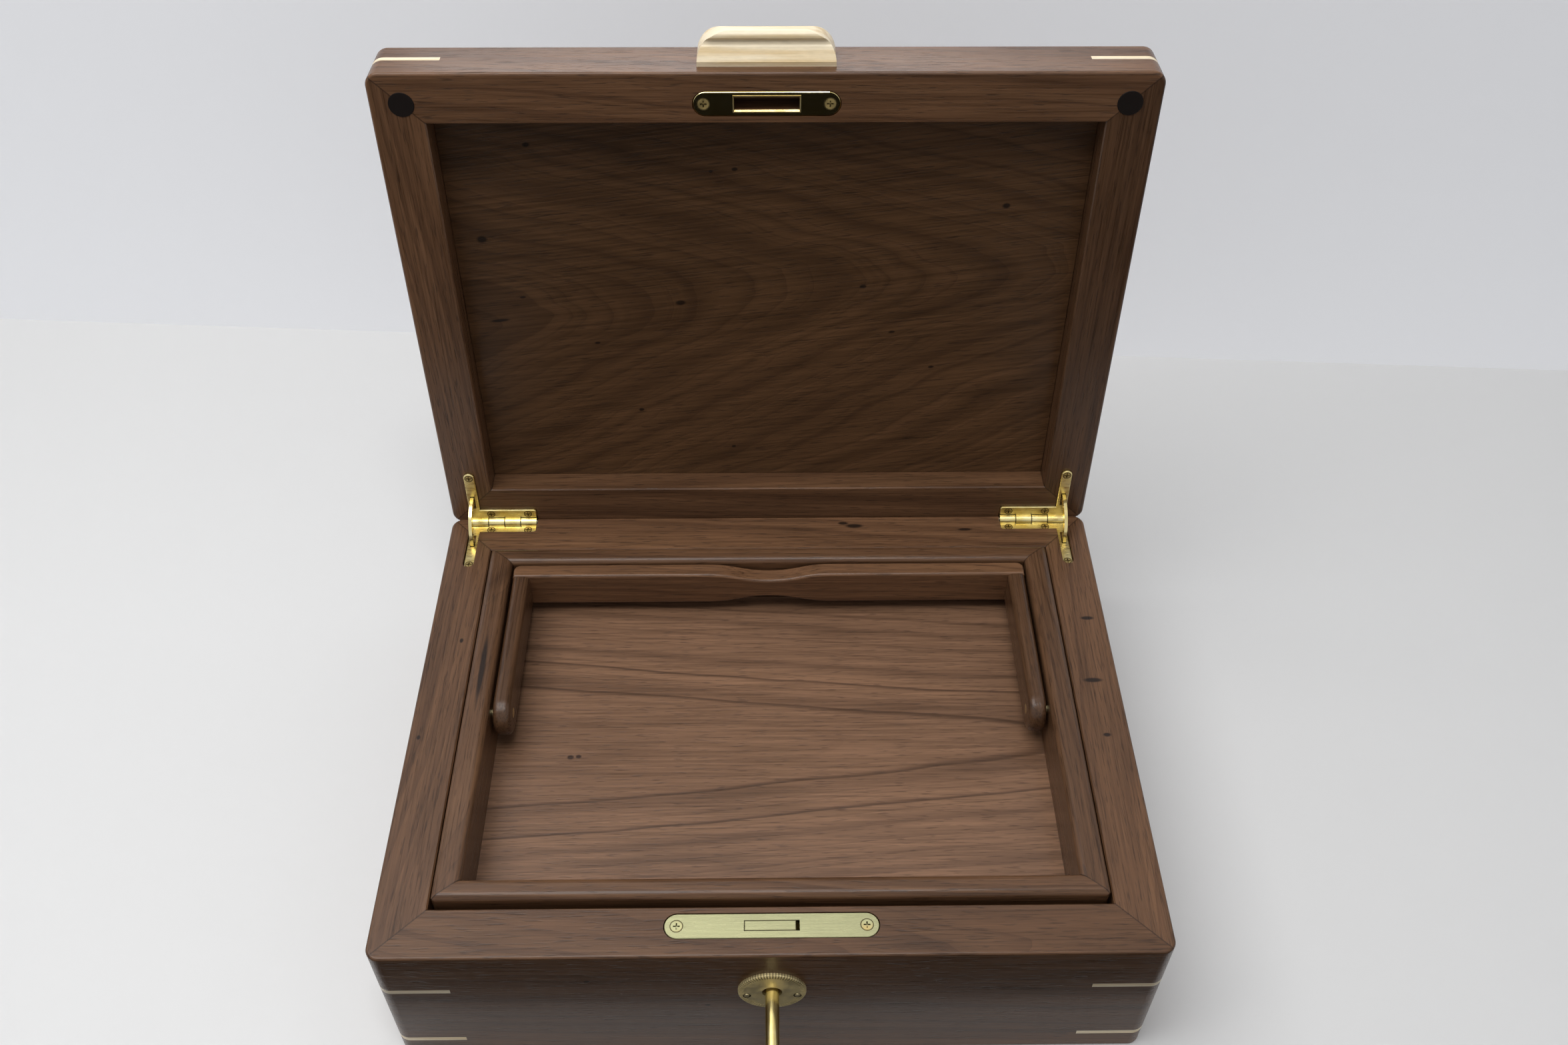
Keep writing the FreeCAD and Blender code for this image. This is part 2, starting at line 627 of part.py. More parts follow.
def guide_slot(x):
    """Slanted slot whose upper end is at the stud while the bolt is down."""
    radius = STUD_RADIUS + STUD_CLEARANCE
    travel = math.hypot(BOLT_SHIFT, BOLT_RISE)
    across = V(BOLT_RISE, 0, -BOLT_SHIFT) * (radius / travel)
    top = V(x, LOCK_Y, STUD_Z)
    bottom = top - V(BOLT_SHIFT, 0, BOLT_RISE)
    corners = [top + across, bottom + across, bottom - across, top - across]
    y_front = LOCK_Y - BOLT_THICKNESS
    y_back = LOCK_Y + BOLT_THICKNESS
    run = front_prism([(c.x, c.z) for c in corners], y_front, y_back)
    ends = [rod((p.x, y_front, p.z), Y_AXIS, radius, y_back - y_front) for p in (top, bottom)]
    return run.fuse(ends)


def lock_bolt():
    """Hooked bolt: a yoke on two guide studs, lifted by the key's bit in its talon."""
    head_left = -SELVEDGE_SLOT_LENGTH / 2 + BOLT_SLOT_GAP
    head_right = head_left + BOLT_HEAD_LENGTH
    y_front = LOCK_Y - BOLT_THICKNESS / 2
    y_back = LOCK_Y + BOLT_THICKNESS / 2
    body = front_prism([
        (-BOLT_LIMB_OUT, BOLT_BOTTOM), (-BOLT_JAW_IN, BOLT_BOTTOM),
        (-BOLT_JAW_IN, BOLT_TALON_BOTTOM), (-BOLT_TALON_BACK, BOLT_TALON_BOTTOM),
        (-BOLT_TALON_BACK, BOLT_TALON_TOP), (-BOLT_LIMB_IN, BOLT_TALON_TOP),
        (-BOLT_LIMB_IN, BOLT_BRIDGE_BOTTOM), (BOLT_LIMB_IN, BOLT_BRIDGE_BOTTOM),
        (BOLT_LIMB_IN, BOLT_RIGHT_BOTTOM), (BOLT_RIGHT_OUT, BOLT_RIGHT_BOTTOM),
        (BOLT_RIGHT_OUT, BOLT_BRIDGE_TOP), (head_right - BOLT_HOOK, BOLT_BRIDGE_TOP),
        (head_right - BOLT_HOOK, SELVEDGE_Z), (head_left, SELVEDGE_Z),
        (head_left, BOLT_BRIDGE_TOP), (-BOLT_LIMB_OUT, BOLT_BRIDGE_TOP),
    ], y_front, y_back)
    half = SELVEDGE_SLOT_WIDTH / 2 - BOLT_SLOT_GAP
    head = block((head_left, LOCK_Y - half, SELVEDGE_Z), (head_right, LOCK_Y + half, BASE_HEIGHT))
    slots = [guide_slot(x) for x in (STUD_LEFT_X, STUD_RIGHT_X)]
    return cut_all(body.fuse(head), slots)


def lock_pocket():
    """What the lock takes out of the front wall."""
    spare = POCKET_CLEARANCE
    case = block((-CASE_LENGTH / 2 - spare, LOCK_Y - CASE_WIDTH / 2 - spare,
                  CASE_BOTTOM - spare),
                 (CASE_LENGTH / 2 + spare, LOCK_Y + CASE_WIDTH / 2 + spare, BASE_HEIGHT))
    bed = stadium(SELVEDGE_LENGTH + 2 * MORTISE_CLEARANCE, SELVEDGE_WIDTH + 2 * MORTISE_CLEARANCE,
                  (0, LOCK_Y), SELVEDGE_Z, BASE_HEIGHT)
    holes = [placed(screw_hole(LOCK_HEAD_RADIUS), x, y, BASE_HEIGHT)
             for x, y in lock_screw_places(LOCK_SCREW_X)]
    return [case, bed, keyhole(KEY_CLEARANCE, -HALF_Y, LOCK_Y)] + holes


def key():
    """Barrel key, its bit turned up to the bolt's talon."""
    y_end = LOCK_Y + CASE_WIDTH / 2 - CASE_PLATE - KEY_CLEARANCE
    y_collar = -HALF_Y - KEY_OUTSIDE
    shank = rod((0, y_collar, KEY_Z), Y_AXIS, KEY_SHANK_RADIUS, y_end - y_collar)
    half = KEY_BIT_THICKNESS / 2
    bit = block((-half, LOCK_Y - BOLT_THICKNESS / 2, KEY_Z - KEY_BIT_REACH),
                (half, LOCK_Y + BOLT_THICKNESS / 2, KEY_Z))
    collar = rod((0, y_collar, KEY_Z), Y_AXIS, KEY_COLLAR_RADIUS, KEY_COLLAR_WIDTH)
    collar = collar.makeChamfer(KEY_COLLAR_EASE, [e for e in collar.Edges if e.BoundBox.YLength < 1e-6])
    middle = (-BOW_THICKNESS / 2, y_collar - BOW_RADIUS + KEY_COLLAR_WIDTH / 2, KEY_Z)
    bow = rod(middle, X_AXIS, BOW_RADIUS, BOW_THICKNESS)
    bow = bow.cut(rod(middle, X_AXIS, BOW_RADIUS - BOW_RING, BOW_THICKNESS))
    bow = bow.makeChamfer(BOW_EASE, [e for e in bow.Edges if e.BoundBox.XLength < 1e-6])
    body = shank.fuse([bit, collar, bow])
    bore_depth = CASE_WIDTH - 2 * CASE_PLATE
    body = body.cut(rod((0, y_end - bore_depth, KEY_Z), Y_AXIS, KEY_BORE_RADIUS, bore_depth))
    body.rotate(V(0, 0, KEY_Z), Y_AXIS, KEY_REST_TURN)
    return body


def escutcheon():
    """Flat round plate with a softened edge, pierced for the key and sunk for its pins."""
    y_show = -HALF_Y - ESCUTCHEON_THICKNESS
    plate = rod((0, y_show, KEY_Z), Y_AXIS, ESCUTCHEON_RADIUS, ESCUTCHEON_THICKNESS)
    edge = [e for e in plate.Edges if e.BoundBox.YMax < y_show + 1e-6]
    plate = plate.makeFillet(ESCUTCHEON_EDGE_ROUND, edge)
    hole = rod((0, y_show, KEY_Z), Y_AXIS, ESCUTCHEON_HOLE_RADIUS, ESCUTCHEON_THICKNESS)
    seat = rod((ESCUTCHEON_PIN_X, y_show, KEY_Z - ESCUTCHEON_PIN_DROP), Y_AXIS,
               ESCUTCHEON_PIN_SEAT, ESCUTCHEON_PIN_SINK)
    tools = [hole.fuse(keyhole(KEY_CLEARANCE, y_show, -HALF_Y))] + both_sides(seat)
    return cut_all(plate, tools + escutcheon_shanks())


def escutcheon_shanks():
    """Shanks of the two pins, level with each other below the keyhole's centre."""
    y_seat = -HALF_Y - ESCUTCHEON_THICKNESS + ESCUTCHEON_PIN_SINK
    z = KEY_Z - ESCUTCHEON_PIN_DROP
    return both_sides(rod((ESCUTCHEON_PIN_X, y_seat, z), Y_AXIS,
                          ESCUTCHEON_PIN_RADIUS, ESCUTCHEON_PIN_LENGTH))


def escutcheon_pins():
    """The same shanks under domed heads."""
    y_seat = -HALF_Y - ESCUTCHEON_THICKNESS + ESCUTCHEON_PIN_SINK
    x = ESCUTCHEON_PIN_X
    z = KEY_Z - ESCUTCHEON_PIN_DROP
    head = ESCUTCHEON_PIN_HEAD
    front = block((x - head, y_seat - head / 2, z - head), (x + head, y_seat, z + head))
    dome = Part.makeSphere(head, V(x, y_seat, z)).common(front)
    return [shank.fuse(top) for shank, top in zip(escutcheon_shanks(), both_sides(dome))]


def striker_plate():
    plate = bevelled_plate(STRIKER_LENGTH, STRIKER_WIDTH, STRIKER_THICKNESS, STRIKER_BEVEL,
                           LOCK_Y, LID_BOTTOM, 1)
    half_x = STRIKER_SLOT_LENGTH / 2
    half_y = STRIKER_SLOT_WIDTH / 2
    plate = plate.cut(block((-half_x, LOCK_Y - half_y, LID_BOTTOM), (half_x, LOCK_Y + half_y, STRIKER_TOP)))
    holes = [placed(screw_hole(LOCK_HEAD_RADIUS), x, y, LID_BOTTOM, True)
             for x, y in lock_screw_places(STRIKER_SCREW_X)]
    return cut_all(plate, holes)


def striker_pocket():
    """What the striker and the raised bolt take out of the lid's front wall."""
    bed = stadium(STRIKER_LENGTH + 2 * MORTISE_CLEARANCE, STRIKER_WIDTH + 2 * MORTISE_CLEARANCE,
                  (0, LOCK_Y), LID_BOTTOM, STRIKER_TOP)
    hook_reach = BOLT_HEAD_LENGTH - SELVEDGE_SLOT_LENGTH / 2 + BOLT_SLOT_GAP + BOLT_SHIFT
    half_y = STRIKER_SLOT_WIDTH / 2
    well = block((-STRIKER_SLOT_LENGTH / 2, LOCK_Y - half_y, LID_BOTTOM),
                 (hook_reach + STRIKER_POCKET_SPARE, LOCK_Y + half_y,
                  BASE_HEIGHT + BOLT_RISE + STRIKER_POCKET_SPARE))
    holes = [placed(screw_hole(LOCK_HEAD_RADIUS), x, y, LID_BOTTOM, True)
             for x, y in lock_screw_places(STRIKER_SCREW_X)]
    return [bed, well] + holes


# Lid pull and buffers


def lid_pull():
    """D-shaped pull with a finger cove along its underside."""
    half = PULL_LENGTH / 2
    flat = half - PULL_SHOULDER_LENGTH
    face_y = -HALF_Y
    nose_y = face_y - PULL_PROJECTION
    shoulder_y = nose_y + PULL_SHOULDER_RISE
    edges = [
        line((-half, face_y, PULL_BOTTOM), (half, face_y, PULL_BOTTOM)),
        line((-flat, nose_y, PULL_BOTTOM), (flat, nose_y, PULL_BOTTOM)),
    ]
    for side, start in ((-1, math.pi), (1, 1.5 * math.pi)):
        middle = V(side * flat, shoulder_y, PULL_BOTTOM)
        oval = Part.Ellipse(middle, PULL_SHOULDER_LENGTH, PULL_SHOULDER_RISE)
        edges.append(Part.ArcOfEllipse(oval, start, start + math.pi / 2).toShape())
        edges.append(line((side * half, face_y, PULL_BOTTOM), (side * half, shoulder_y, PULL_BOTTOM)))
    board = outline_face(edges).extrude(V(0, 0, PULL_HEIGHT))

    def at(projection, height):
        return (-half, face_y - projection, PULL_BOTTOM + height)

    cove_middle = (PULL_COVE_START + PULL_COVE_END) / 2
    nose = PULL_PROJECTION - PULL_COVE_END
    nose_bend = nose * (1 - math.sqrt(0.5))
    top_bend = PULL_TOP_ROUND * (1 - math.sqrt(0.5))
    nose_top = PULL_COVE_RISE + nose
    section = outline_face([
        line(at(0, 0), at(PULL_FOOT, 0)),
        line(at(PULL_FOOT, 0), at(PULL_COVE_START, PULL_COVE_RISE)),
        arc(at(PULL_COVE_START, PULL_COVE_RISE), at(cove_middle, PULL_COVE_RISE + PULL_COVE_DEPTH),
            at(PULL_COVE_END, PULL_COVE_RISE)),
        arc(at(PULL_COVE_END, PULL_COVE_RISE),
            at(PULL_PROJECTION - nose_bend, PULL_COVE_RISE + nose_bend), at(PULL_PROJECTION, nose_top)),
        line(at(PULL_PROJECTION, nose_top), at(PULL_PROJECTION, PULL_HEIGHT - PULL_TOP_ROUND)),
        arc(at(PULL_PROJECTION, PULL_HEIGHT - PULL_TOP_ROUND),
            at(PULL_PROJECTION - top_bend, PULL_HEIGHT - top_bend),
            at(PULL_PROJECTION - PULL_TOP_ROUND, PULL_HEIGHT)),
        line(at(PULL_PROJECTION - PULL_TOP_ROUND, PULL_HEIGHT), at(0, PULL_HEIGHT)),
        line(at(0, PULL_HEIGHT), at(0, 0)),
    ])
    return board.common(section.extrude(V(PULL_LENGTH, 0, 0)))


def buffer_disc():
    """Soft disc let into the lid's front rim, a little proud of it."""
    place = (HALF_X - BUFFER_INSET, LOCK_Y, LID_BOTTOM - BUFFER_PROUD)
    disc = rod(place, Z_AXIS, BUFFER_RADIUS, BUFFER_DEPTH + BUFFER_PROUD)
    return disc.makeChamfer(BUFFER_EASE, edges_at_height(disc, LID_BOTTOM - BUFFER_PROUD))


# Carcass, lid and tray


def base_walls():
    sheath = rounded_block(HALF_X, HALF_Y, 0, BASE_HEIGHT, CORNER_RADIUS, EDGE_EASE)
    wedges = mitre_wedges(HALF_X, HALF_Y, WALL, WALL, 0, BASE_HEIGHT)
    keys = [k for height in BASE_SPLINE_HEIGHTS for k in spline_keys(BASE_SPLINE_LEG, height, sheath, False)]
    hinge = hinge_mortises(False)
    tools = [eased_opening(INNER_X, INNER_Y, BASE_HEIGHT, 1), bottom_bed()] + keys
    tools += hinge + [mirrored(t) for t in hinge] + lock_pocket() + escutcheon_shanks()
    walls = {side: cut_touching(wedges[side].common(sheath), tools) for side in SIDES}
    return walls, keys


def cut_touching(shape, tools):
    """Cut with those tools that reach the piece."""
    return cut_all(shape, [t for t in tools if t.BoundBox.intersect(shape.BoundBox)])


def bottom_bed():
    return block((-INNER_X - BOTTOM_RABBET, -INNER_Y - BOTTOM_RABBET, 0),
                 (INNER_X + BOTTOM_RABBET, INNER_Y + BOTTOM_RABBET, BOTTOM_THICKNESS))


def bottom_panel():
    x = INNER_X + BOTTOM_RABBET - PANEL_CLEARANCE
    y = INNER_Y + BOTTOM_RABBET - PANEL_CLEARANCE
    return block((-x, -y, 0), (x, y, BOTTOM_THICKNESS))


def tray_bearer():
    """Ledge on the end wall that the tray stands on."""
    top = TRAY_BOTTOM - SEAT_GAP
    return block((INNER_X - BEARER_WIDTH, -INNER_Y, top - BEARER_HEIGHT), (INNER_X, INNER_Y, top))


def lid_walls():
    sheath = rounded_block(HALF_X, HALF_Y, LID_BOTTOM, LID_TOP, CORNER_RADIUS, EDGE_EASE)
    wedges = mitre_wedges(HALF_X, HALF_Y, LID_WALL, LID_WALL, LID_BOTTOM, LID_TOP)
    keys = spline_keys(LID_SPLINE_LEG, LID_BOTTOM + LID_SPLINE_ABOVE_RIM, sheath, True)
    hinge = hinge_mortises(True)
    tools = [eased_opening(LID_INNER_X, LID_INNER_Y, LID_BOTTOM, -1), lid_groove()] + keys
    tools += hinge + [mirrored(t) for t in hinge] + striker_pocket() + both_sides(buffer_disc())
    walls = {side: cut_touching(wedges[side].common(sheath), tools) for side in SIDES}
    return walls, keys


def lid_groove():
    low = LID_BOTTOM + LID_RECESS + LID_TONGUE_ABOVE_RECESS
    return block((-LID_INNER_X - LID_TONGUE, -LID_INNER_Y - LID_TONGUE, low),
                 (LID_INNER_X + LID_TONGUE, LID_INNER_Y + LID_TONGUE, low + LID_TONGUE_THICKNESS))


def lid_panel():
    """Floating panel: a field between the walls and a tongue in their groove."""
    low = LID_BOTTOM + LID_RECESS
    x = LID_INNER_X - PANEL_CLEARANCE
    y = LID_INNER_Y - PANEL_CLEARANCE
    field = block((-x, -y, low), (x, y, low + LID_PANEL_THICKNESS))
    x_tongue = x + LID_TONGUE - PANEL_CLEARANCE
    y_tongue = y + LID_TONGUE - PANEL_CLEARANCE
    tongue_low = low + LID_TONGUE_ABOVE_RECESS
    tongue = block((-x_tongue, -y_tongue, tongue_low),
                   (x_tongue, y_tongue, tongue_low + LID_TONGUE_THICKNESS))
    return field.fuse(tongue)


def rounded_section(offset, thickness, run):
    """Upright board section with a rounded top, starting at an offset across the board."""
    r = TRAY_RIM_RADIUS
    bend = r * (1 - math.sqrt(0.5))

    def at(t, z):
        return (run, offset + t, z)

    return outline_face([
        line(at(0, TRAY_BOTTOM), at(0, TRAY_TOP - r)),
        arc(at(0, TRAY_TOP - r), at(bend, TRAY_TOP - bend), at(r, TRAY_TOP)),
        line(at(r, TRAY_TOP), at(thickness - r, TRAY_TOP)),
        arc(at(thickness - r, TRAY_TOP), at(thickness - bend, TRAY_TOP - bend), at(thickness, TRAY_TOP - r)),
        line(at(thickness, TRAY_TOP - r), at(thickness, TRAY_BOTTOM)),
        line(at(thickness, TRAY_BOTTOM), at(0, TRAY_BOTTOM)),
    ])


def tray_walls():
    sheath = block((-TRAY_X, -TRAY_Y, TRAY_BOTTOM), (TRAY_X, TRAY_Y, TRAY_TOP))
    sheath = sheath.makeFillet(TRAY_CORNER_RADIUS, upright_edges(sheath))
    wedges = mitre_wedges(TRAY_X, TRAY_Y, TRAY_END_WALL, TRAY_LONG_WALL, TRAY_BOTTOM, TRAY_TOP)
    front = rounded_section(-TRAY_Y, TRAY_LONG_WALL, -TRAY_X).extrude(V(2 * TRAY_X, 0, 0))
    end = rounded_section(-TRAY_X, TRAY_END_WALL, -TRAY_Y).extrude(V(2 * TRAY_Y, 0, 0))
    end.rotate(V(0, 0, 0), Z_AXIS, -90)
    bars = {
        "front": front,
        "back": front.mirror(V(0, 0, 0), Y_AXIS),
        "left": end,
        "right": mirrored(end),
    }
    x = TRAY_INNER_X + TRAY_GROOVE
    y = TRAY_INNER_Y + TRAY_GROOVE
    groove = block((-x, -y, TRAY_FLOOR - TRAY_FLOOR_THICKNESS), (x, y, TRAY_FLOOR))
    tools = [groove] + handle_pins()
    return {side: cut_touching(bars[side].common(wedges[side]).common(sheath), tools) for side in SIDES}


def tray_floor():
    x = TRAY_INNER_X + TRAY_GROOVE - PANEL_CLEARANCE
    y = TRAY_INNER_Y + TRAY_GROOVE - PANEL_CLEARANCE
    return block((-x, -y, TRAY_FLOOR - TRAY_FLOOR_THICKNESS), (x, y, TRAY_FLOOR))


def handle_pins():
    length = HANDLE_THICKNESS + HANDLE_SIDE_GAP + HANDLE_PIN_DEPTH
    return both_sides(rod((ARM_INNER_X, HANDLE_PIN_BEHIND_MIDDLE, HANDLE_PIVOT_Z), X_AXIS,
                          HANDLE_PIN_RADIUS, length))


def handle_arm():
    """Right arm: a bar butted to the crossbar, with a half-round pivot end and a bore for its pin."""
    r = HANDLE_HEIGHT / 2
    x = ARM_INNER_X
    y = HANDLE_PIN_BEHIND_MIDDLE
    low = HANDLE_PIVOT_Z - r
    high = HANDLE_PIVOT_Z + r
    face = outline_face([
        line((x, CROSSBAR_Y, low), (x, CROSSBAR_Y, high)),
        line((x, CROSSBAR_Y, high), (x, y, high)),
        arc((x, y, high), (x, y - r, HANDLE_PIVOT_Z), (x, y, low)),
        line((x, y, low), (x, CROSSBAR_Y, low)),
    ])
    bar = face.extrude(V(HANDLE_THICKNESS, 0, 0))
    rim = [e for e in bar.Edges if e.BoundBox.XLength < 1e-6 and e.BoundBox.YMin < CROSSBAR_Y - 1e-6]
    bar = bar.makeFillet(ARM_EDGE_RADIUS, rim)
    hole_radius = HANDLE_PIN_RADIUS + RUNNING_CLEARANCE
    return bar.cut(rod((x, y, HANDLE_PIVOT_Z), X_AXIS, hole_radius, HANDLE_THICKNESS))


def scoop_edges(height, sign, y):
    """Straight edge that dips smoothly towards the bar's middle, as two lines and three arcs."""
    half = SCOOP_LENGTH / 2
    radius = (half ** 2 + SCOOP_DEPTH ** 2) / (4 * SCOOP_DEPTH)
    quarter_sag = radius - math.sqrt(radius ** 2 - (half / 4) ** 2)

    def at(x, dip):
        return (x, y, height - sign * dip)

    turn = half / 2
    points = [at(-half, 0), at(-turn, SCOOP_DEPTH / 2), at(turn, SCOOP_DEPTH / 2), at(half, 0)]
    ease = SCOOP_DEPTH / 4 - quarter_sag * (1 - SCOOP_DEPTH / (8 * radius))
    bends = [at(-half + turn / 2, ease), at(0, SCOOP_DEPTH), at(half - turn / 2, ease)]
    edges = [line((-ARM_OUTER_X, y, height), points[0]), line(points[3], (ARM_OUTER_X, y, height))]
    return edges + [arc(points[i], bends[i], points[i + 1]) for i in range(3)]


def handle_crossbar():
    """Bar across the arms' back ends, waisted above and below at its middle for the fingers."""
    low = HANDLE_PIVOT_Z - HANDLE_HEIGHT / 2
    edges = scoop_edges(HANDLE_TOP, 1, CROSSBAR_Y) + scoop_edges(low, -1, CROSSBAR_Y)
    edges += [line((x, CROSSBAR_Y, low), (x, CROSSBAR_Y, HANDLE_TOP)) for x in (-ARM_OUTER_X, ARM_OUTER_X)]
    bar = outline_face(edges).extrude(V(0, HANDLE_THICKNESS, 0))
    ends = [e for e in upright_edges(bar) if e.BoundBox.XLength < 1e-6]
    corners = [e for e in ends if e.BoundBox.YMin > HANDLE_BACK_Y - 1e-6]
    bar = bar.makeFillet(HANDLE_CORNER_RADIUS, corners)
    rim = [e for e in bar.Edges if e.BoundBox.YLength < 1e-6 and e.BoundBox.XLength > 1e-6]
    return bar.makeFillet(HANDLE_EDGE_RADIUS, rim)


def build():
    """Every piece of the box by name, in the open rest pose."""
    walls, base_keys = base_walls()
    lid, lid_keys = lid_walls()
    tray = tray_walls()
    pieces = {"base_" + side: walls[side] for side in SIDES}
    pieces["base_bottom"] = bottom_panel()
    pieces["base_splines"] = group(base_keys)
    pieces["tray_bearers"] = group(both_sides(tray_bearer()))
    pieces["lock_selvedge"] = lock_selvedge()
    pieces["lock_case"] = lock_case()
    pieces["lock_cap"] = lock_cap()
    pieces["lock_key_pin"] = lock_key_pin()
    pieces["lock_guide_studs"] = group(lock_guide_studs())
    pieces["lock_bolt"] = lock_bolt()
    pieces["lock_screws"] = group([placed(screw(LOCK_HEAD_RADIUS), x, y, BASE_HEIGHT)
                                   for x, y in lock_screw_places(LOCK_SCREW_X)])
    pieces["escutcheon"] = escutcheon()
    pieces["escutcheon_pins"] = group(escutcheon_pins())
    pieces["key"] = key()

    for name, shape in (("base_leaf", hinge_leaf(False)), ("pin", hinge_pin()), ("stay", hinge_stay())):
        pieces["right_hinge_" + name] = shape
        pieces["left_hinge_" + name] = mirrored(shape)
    screws = hinge_screws(False)
    pieces["right_hinge_base_screws"] = group(screws)
    pieces["left_hinge_base_screws"] = group([mirrored(s) for s in screws])

    leaf = hinge_leaf(True)
    screws = hinge_screws(True)
    closed = {"lid_" + side: lid[side] for side in SIDES}
    closed["lid_panel"] = lid_panel()
    closed["lid_splines"] = group(lid_keys)
    closed["lid_pull"] = lid_pull()
    closed["lid_buffers"] = group(both_sides(buffer_disc()))
    closed["striker_plate"] = striker_plate()
    closed["striker_screws"] = group([placed(screw(LOCK_HEAD_RADIUS), x, y, LID_BOTTOM, True)
                                      for x, y in lock_screw_places(STRIKER_SCREW_X)])
    closed["right_hinge_lid_leaf"] = leaf
    closed["left_hinge_lid_leaf"] = mirrored(leaf)
    closed["right_hinge_lid_screws"] = group(screws)
    closed["left_hinge_lid_screws"] = group([mirrored(s) for s in screws])
    pieces.update({name: opened(shape) for name, shape in closed.items()})

    pieces.update({"tray_" + side: tray[side] for side in SIDES})
    pieces["tray_floor"] = tray_floor()
    pieces["handle_crossbar"] = handle_crossbar()
    pieces["handle_right_arm"] = handle_arm()
    pieces["handle_left_arm"] = mirrored(handle_arm())
    pieces["handle_pins"] = group(handle_pins())
    return pieces


os.makedirs("parts", exist_ok=True)
for node, solid in build().items():
    solid.exportStep("parts/" + node + ".step")
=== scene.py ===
"""Looks of a walnut watch box: its woods, its brass, its small turned parts and the stage it stands on."""

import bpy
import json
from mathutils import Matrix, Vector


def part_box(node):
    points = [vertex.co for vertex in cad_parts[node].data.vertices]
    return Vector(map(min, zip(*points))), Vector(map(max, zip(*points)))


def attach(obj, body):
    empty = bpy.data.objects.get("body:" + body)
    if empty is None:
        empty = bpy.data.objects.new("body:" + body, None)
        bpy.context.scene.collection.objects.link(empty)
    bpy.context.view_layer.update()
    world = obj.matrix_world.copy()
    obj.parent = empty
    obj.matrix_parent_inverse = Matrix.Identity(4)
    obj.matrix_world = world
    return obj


bl_info = {
    "name": "Watch box looks",
    "version": (1, 0, 0),
    "blender": (4, 5, 0),
    "location": "3D View > Sidebar > Watch box",
    "description": "Dresses the packed watch box in walnut, maple and brass, and sets its stage",
    "category": "Object",
}

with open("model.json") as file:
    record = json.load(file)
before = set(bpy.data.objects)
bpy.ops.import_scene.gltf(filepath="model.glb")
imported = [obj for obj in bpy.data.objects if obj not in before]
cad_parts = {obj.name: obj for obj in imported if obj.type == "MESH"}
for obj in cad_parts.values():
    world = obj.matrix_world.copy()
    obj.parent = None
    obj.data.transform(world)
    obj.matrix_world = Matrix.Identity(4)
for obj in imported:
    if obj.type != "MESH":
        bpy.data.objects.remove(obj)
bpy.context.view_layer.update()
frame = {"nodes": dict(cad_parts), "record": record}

import json
import math

import bmesh
import bpy
from bpy.props import FloatProperty, FloatVectorProperty, IntProperty, PointerProperty
from mathutils import Euler, Matrix, Vector

# The object, in mm and degrees.
MM = 0.001
UP = Vector((0, 0, 1))
FORWARD = Vector((0, -1, 0))
LID_OPEN = 93.5
PIN = next(Vector(joint["pos_m"]) / MM for joint in frame["record"]["behaviour"]["joints"]
           if joint["name"] == "lid_hinge")
LID_TURN = (Matrix.Translation(PIN) @ Matrix.Rotation(-math.radians(LID_OPEN), 4, "X")
            @ Matrix.Translation(-PIN))
LID_DOWN = LID_TURN.to_3x3() @ -UP
LID_UNDERSIDE = 73.3
PANEL_INSIDE = 83.8
LOCK_MIDDLE = -93.6
KEY_PLATE_PIN_RADIUS = 1.1
HINGE_END = 102.8
BARREL_END = 131.1
BARREL_RADIUS = 2.4
KNUCKLES = 4

# Mitres: the side on which the board is short, what its rounded corner takes off each end, and how thick its
# neighbour is.
BOX_FRONT = (1, 1.46, 19.0)
BOX_BACK = (-1, 1.46, 19.0)
TRAY_FRONT = (1, 0.65, 10.0)
TRAY_BACK = (-1, 0.65, 10.0)
TRAY_LEFT = (-1, 0.53, 8.2)
TRAY_RIGHT = (1, 0.53, 8.2)

# Points this near a face are on it, and round heads are further apart than this, in mm.
TOUCH = 0.05
HEADS_APART = 6

# How long and how wide the traits of walnut's grain are in mm, and the detail and roughness of their noise.
# Fibres and pores are finer than a pixel, so they are drawn as coarse as they need to show.
WALNUT_GRAIN = {
    "stray": (150, 40, 3.0, 0.5),
    "fibre": (35, 0.8, 3.0, 0.6),
    "streak": (110, 5, 3.0, 0.5),
    "pore": (8, 0.55, 1.0, 0.5),
    "cloud": (70, 30, 1.0, 0.5),
}
WOOD_IOR = 1.5

# Trim: the share of its height that its bevel takes, and the turn in radians that makes an edge a sharp one.
BEVEL_SHARE = 0.4
SHARP = 0.5

# What most of a noise lies between, for a Map Range.
NOISE_SPAN = {1: 0.3, 2: 0.7}

# Brass: the width of its patches in mm, how dark a drawn joint is, and how far in from the key plate's edge
# the drawn cuts, painted shade between the ribs, start, in mm.
BRASS_PATCH = 6
JOINT_DARK = 0.85
CUTS_INSET = 2.2

# The grain of the dust on the buffers, in metres.
RUBBER_DUST = 0.8 * MM

# The stage, in metres and degrees.
FLOOR_HALF = (4.0, 4.0)
FLOOR_FADE = (0.6, 2.5)
FLOOR_GLOW = 0.45
WALL_HALF = (2.2, 0.75)
WALL_Y = 0.3177
WALL_YAW = -3.4
FLAG_HALF = (1.0, 0.5)
FLAG_PLACE = (0, -0.622, 0.004)
PAINT_GRAIN = 40 * MM

# The camera fitted to the picture: its place and lens in mm, and its yaw, pitch and roll in degrees.
CAMERA_PLACE = (-0.9815, -337.8471, 527.8869)
CAMERA_TURN = (1.00888, 45.98005, 0.38304)
CAMERA_LENS = 32.7309
SENSOR_WIDTH = 36.0
CLIP_START = 0.01


def linear(hex_colour):
    """sRGB hex to the linear colour that the shaders take."""
    channels = (int(hex_colour[i:i + 2], 16) / 255 for i in (1, 3, 5))
    return (*(c / 12.92 if c <= 0.04045 else ((c + 0.055) / 1.055) ** 2.4 for c in channels), 1.0)


